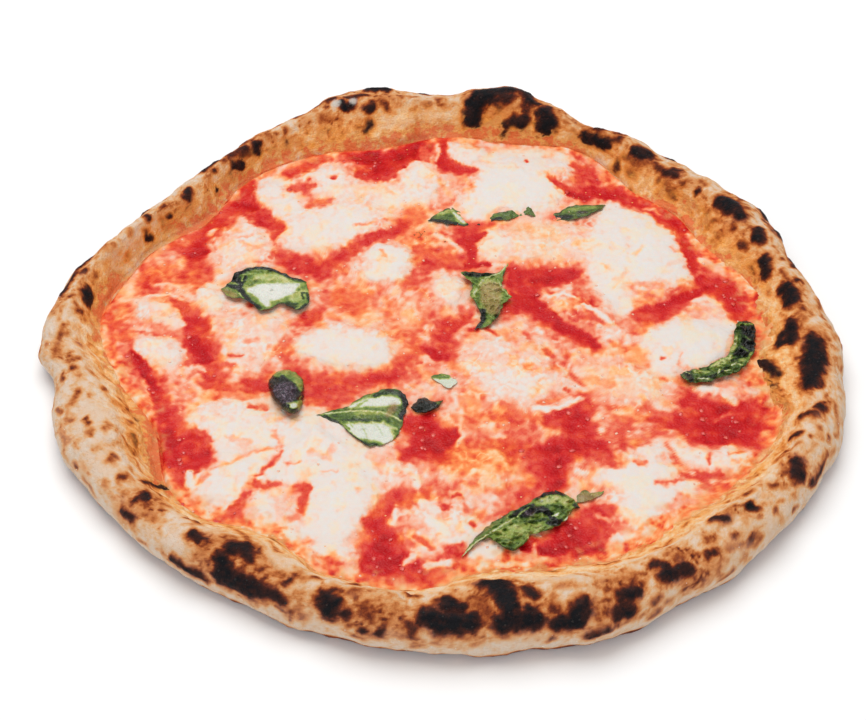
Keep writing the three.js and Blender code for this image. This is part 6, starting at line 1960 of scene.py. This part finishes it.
class CrumbSettings(bpy.types.PropertyGroup):
    pulp: FloatProperty(name="Pulp", description="Bits of tomato on a square metre", default=22000.0, min=0)
    curd: FloatProperty(name="Curd", description="Flecks of cheese on a square metre", default=14000.0, min=0)
    oil: FloatProperty(name="Oil", description="Beads of oil on a square metre", default=2500.0, min=0)
    flakes: FloatProperty(
        name="Flakes", description="Flakes of char on a square metre", default=40000.0, min=0
    )
    flour: FloatProperty(
        name="Flour", description="Grains of flour on a square metre", default=40000.0, min=0
    )
    specks: FloatProperty(
        name="Specks", description="Burnt specks on a square metre", default=420000.0, min=0
    )
    seed: IntProperty(name="Seed", description="Chooses where the small bits fall", default=4)


class StageSettings(bpy.types.PropertyGroup):
    light: FloatProperty(
        name="Light", description="How bright a white face that looks up is", default=1.1, min=0.1
    )
    floor: FloatVectorProperty(
        name="Floor", description="Colour of the table", subtype="COLOR", size=3, default=(0.93, 0.93, 0.93),
        min=0, max=1,
    )


class PizzaSettings(bpy.types.PropertyGroup):
    crust: PointerProperty(type=CrustSettings)
    topping: PointerProperty(type=ToppingSettings)
    crumbs: PointerProperty(type=CrumbSettings)
    stage: PointerProperty(type=StageSettings)


# ---- Operators ----

class PIZZA_OT_bake_crust(bpy.types.Operator):
    """Bake the crust"""
    bl_idname = "pizza.bake_crust"
    bl_label = "Bake crust"

    def execute(self, context):
        finish_piece(build_crust(context.scene.pizza.crust), "crust", "crust")
        return {"FINISHED"}


class PIZZA_OT_spread_tomato(bpy.types.Operator):
    """Spread the crushed tomato"""
    bl_idname = "pizza.spread_tomato"
    bl_label = "Spread tomato"

    def execute(self, context):
        settings = context.scene.pizza.topping
        piece = build_sauce(settings)
        piece.data.materials.append(topping_material("crushed tomato"))
        finish_piece(piece, "sauce", "tomato_sauce")
        return {"FINISHED"}


class PIZZA_OT_melt_mozzarella(bpy.types.Operator):
    """Melt the pools of mozzarella"""
    bl_idname = "pizza.melt_mozzarella"
    bl_label = "Melt mozzarella"

    def execute(self, context):
        settings = context.scene.pizza.topping
        material = topping_material("melted mozzarella")
        for piece, node in build_pools(settings):
            piece.data.materials.append(material)
            finish_piece(piece, "cheese", node)
        return {"FINISHED"}


class PIZZA_OT_lay_basil(bpy.types.Operator):
    """Lay the basil leaves"""
    bl_idname = "pizza.lay_basil"
    bl_label = "Lay basil"

    def execute(self, context):
        material = basil_material()
        for number, leaf in enumerate(LEAVES, 1):
            piece = build_leaf(number, leaf)
            piece.data.materials.append(material)
            finish_piece(piece, "basil", f"basil_{number}")
        return {"FINISHED"}


class PIZZA_OT_strew_crumbs(bpy.types.Operator):
    """Strew tomato pulp, curds, oil, char and flour"""
    bl_idname = "pizza.strew_crumbs"
    bl_label = "Strew crumbs"

    def execute(self, context):
        crumbs = context.scene.pizza.crumbs
        sauce = bpy.data.objects["crushed_tomato"]
        crust = bpy.data.objects["baked_crust"]
        masks = crumb_masks(sauce, crust)
        tree = scatter_tree()
        pieces = []
        for name, slot, look, (smallest, largest, flatness, roughness, facets), amount, seed in CRUMBS:
            carrier = crust if slot == "crust" else sauce
            piece = strew(
                name, carrier, masks[name], crumb_material(*look), tree, density=getattr(crumbs, amount),
                smallest=smallest, largest=largest, flatness=flatness, roughness=roughness, facets=facets,
                seed=crumbs.seed + seed,
            )
            pieces.append((piece, slot))
        for piece, slot in pieces:
            finish_piece(piece, slot)
        return {"FINISHED"}


class PIZZA_OT_set_stage(bpy.types.Operator):
    """Set the table, the lights and the camera"""
    bl_idname = "pizza.set_stage"
    bl_label = "Set stage"

    def execute(self, context):
        scene = context.scene
        settings = scene.pizza.stage
        scene.view_settings.view_transform = "Standard"
        table = bpy.data.meshes.new("table")
        corners = [(x * TABLE_REACH, y * TABLE_REACH, 0) for x, y in ((-1, -1), (1, -1), (1, 1), (-1, 1))]
        table.from_pydata(corners, [], [(0, 1, 2, 3)])
        material, _, shader = new_material("table", 0.9, Specular_IOR_Level=0.1)
        shader.inputs["Base Color"].default_value = (*settings.floor, 1)
        table.materials.append(material)
        table = bpy.data.objects.new("table", table)
        scene.collection.objects.link(table)

        world = bpy.data.worlds.new("studio")
        world.use_nodes = True
        background = world.node_tree.nodes["Background"]
        background.inputs["Color"].default_value = (1, 1, 1, 1)
        background.inputs["Strength"].default_value = STUDIO_STRENGTH * settings.light
        scene.world = world
        for name, place, width, power in LAMPS:
            lamp = bpy.data.lights.new(name, "AREA")
            lamp.shape = "DISK"
            lamp.size = width
            lamp.energy = power * settings.light
            lamp = bpy.data.objects.new(name, lamp)
            lamp.location = place
            lamp.rotation_euler = (-Vector(place)).to_track_quat("-Z", "Y").to_euler()
            scene.collection.objects.link(lamp)

        camera = bpy.data.cameras.new("camera")
        camera.lens = CAMERA_LENS
        camera.sensor_width = CAMERA_SENSOR
        camera.shift_x, camera.shift_y = CAMERA_SHIFT
        camera.clip_start = 0.01
        camera = bpy.data.objects.new("camera", camera)
        camera.location = CAMERA_PLACE
        camera.rotation_euler = (CAMERA_TARGET - CAMERA_PLACE).to_track_quat("-Z", "Y").to_euler()
        scene.collection.objects.link(camera)
        scene.camera = camera
        return {"FINISHED"}


class PIZZA_PT_kitchen(bpy.types.Panel):
    """Lists the steps of the pizza"""
    bl_label = "Pizza"
    bl_idname = "PIZZA_PT_kitchen"
    bl_space_type = "VIEW_3D"
    bl_region_type = "UI"
    bl_category = "Pizza"

    def draw(self, context):
        pizza = context.scene.pizza
        for step in STEPS:
            self.layout.operator(f"pizza.{step}")
        for group in (pizza.crust, pizza.topping, pizza.crumbs, pizza.stage):
            box = self.layout.box()
            for name in group.__annotations__:
                box.prop(group, name)


STEPS = ("set_stage", "bake_crust", "spread_tomato", "melt_mozzarella", "lay_basil", "strew_crumbs")
CLASSES = (
    CrustSettings, ToppingSettings, CrumbSettings, StageSettings, PizzaSettings,
    PIZZA_OT_set_stage, PIZZA_OT_bake_crust, PIZZA_OT_spread_tomato, PIZZA_OT_melt_mozzarella,
    PIZZA_OT_lay_basil, PIZZA_OT_strew_crumbs, PIZZA_PT_kitchen,
)


def register():
    for kind in CLASSES:
        bpy.utils.register_class(kind)
    bpy.types.Scene.pizza = PointerProperty(type=PizzaSettings)


def unregister():
    del bpy.types.Scene.pizza
    for kind in reversed(CLASSES):
        bpy.utils.unregister_class(kind)


def main():
    register()
    for step in STEPS:
        getattr(bpy.ops.pizza, step)()


if __name__ == "__main__":
    main()
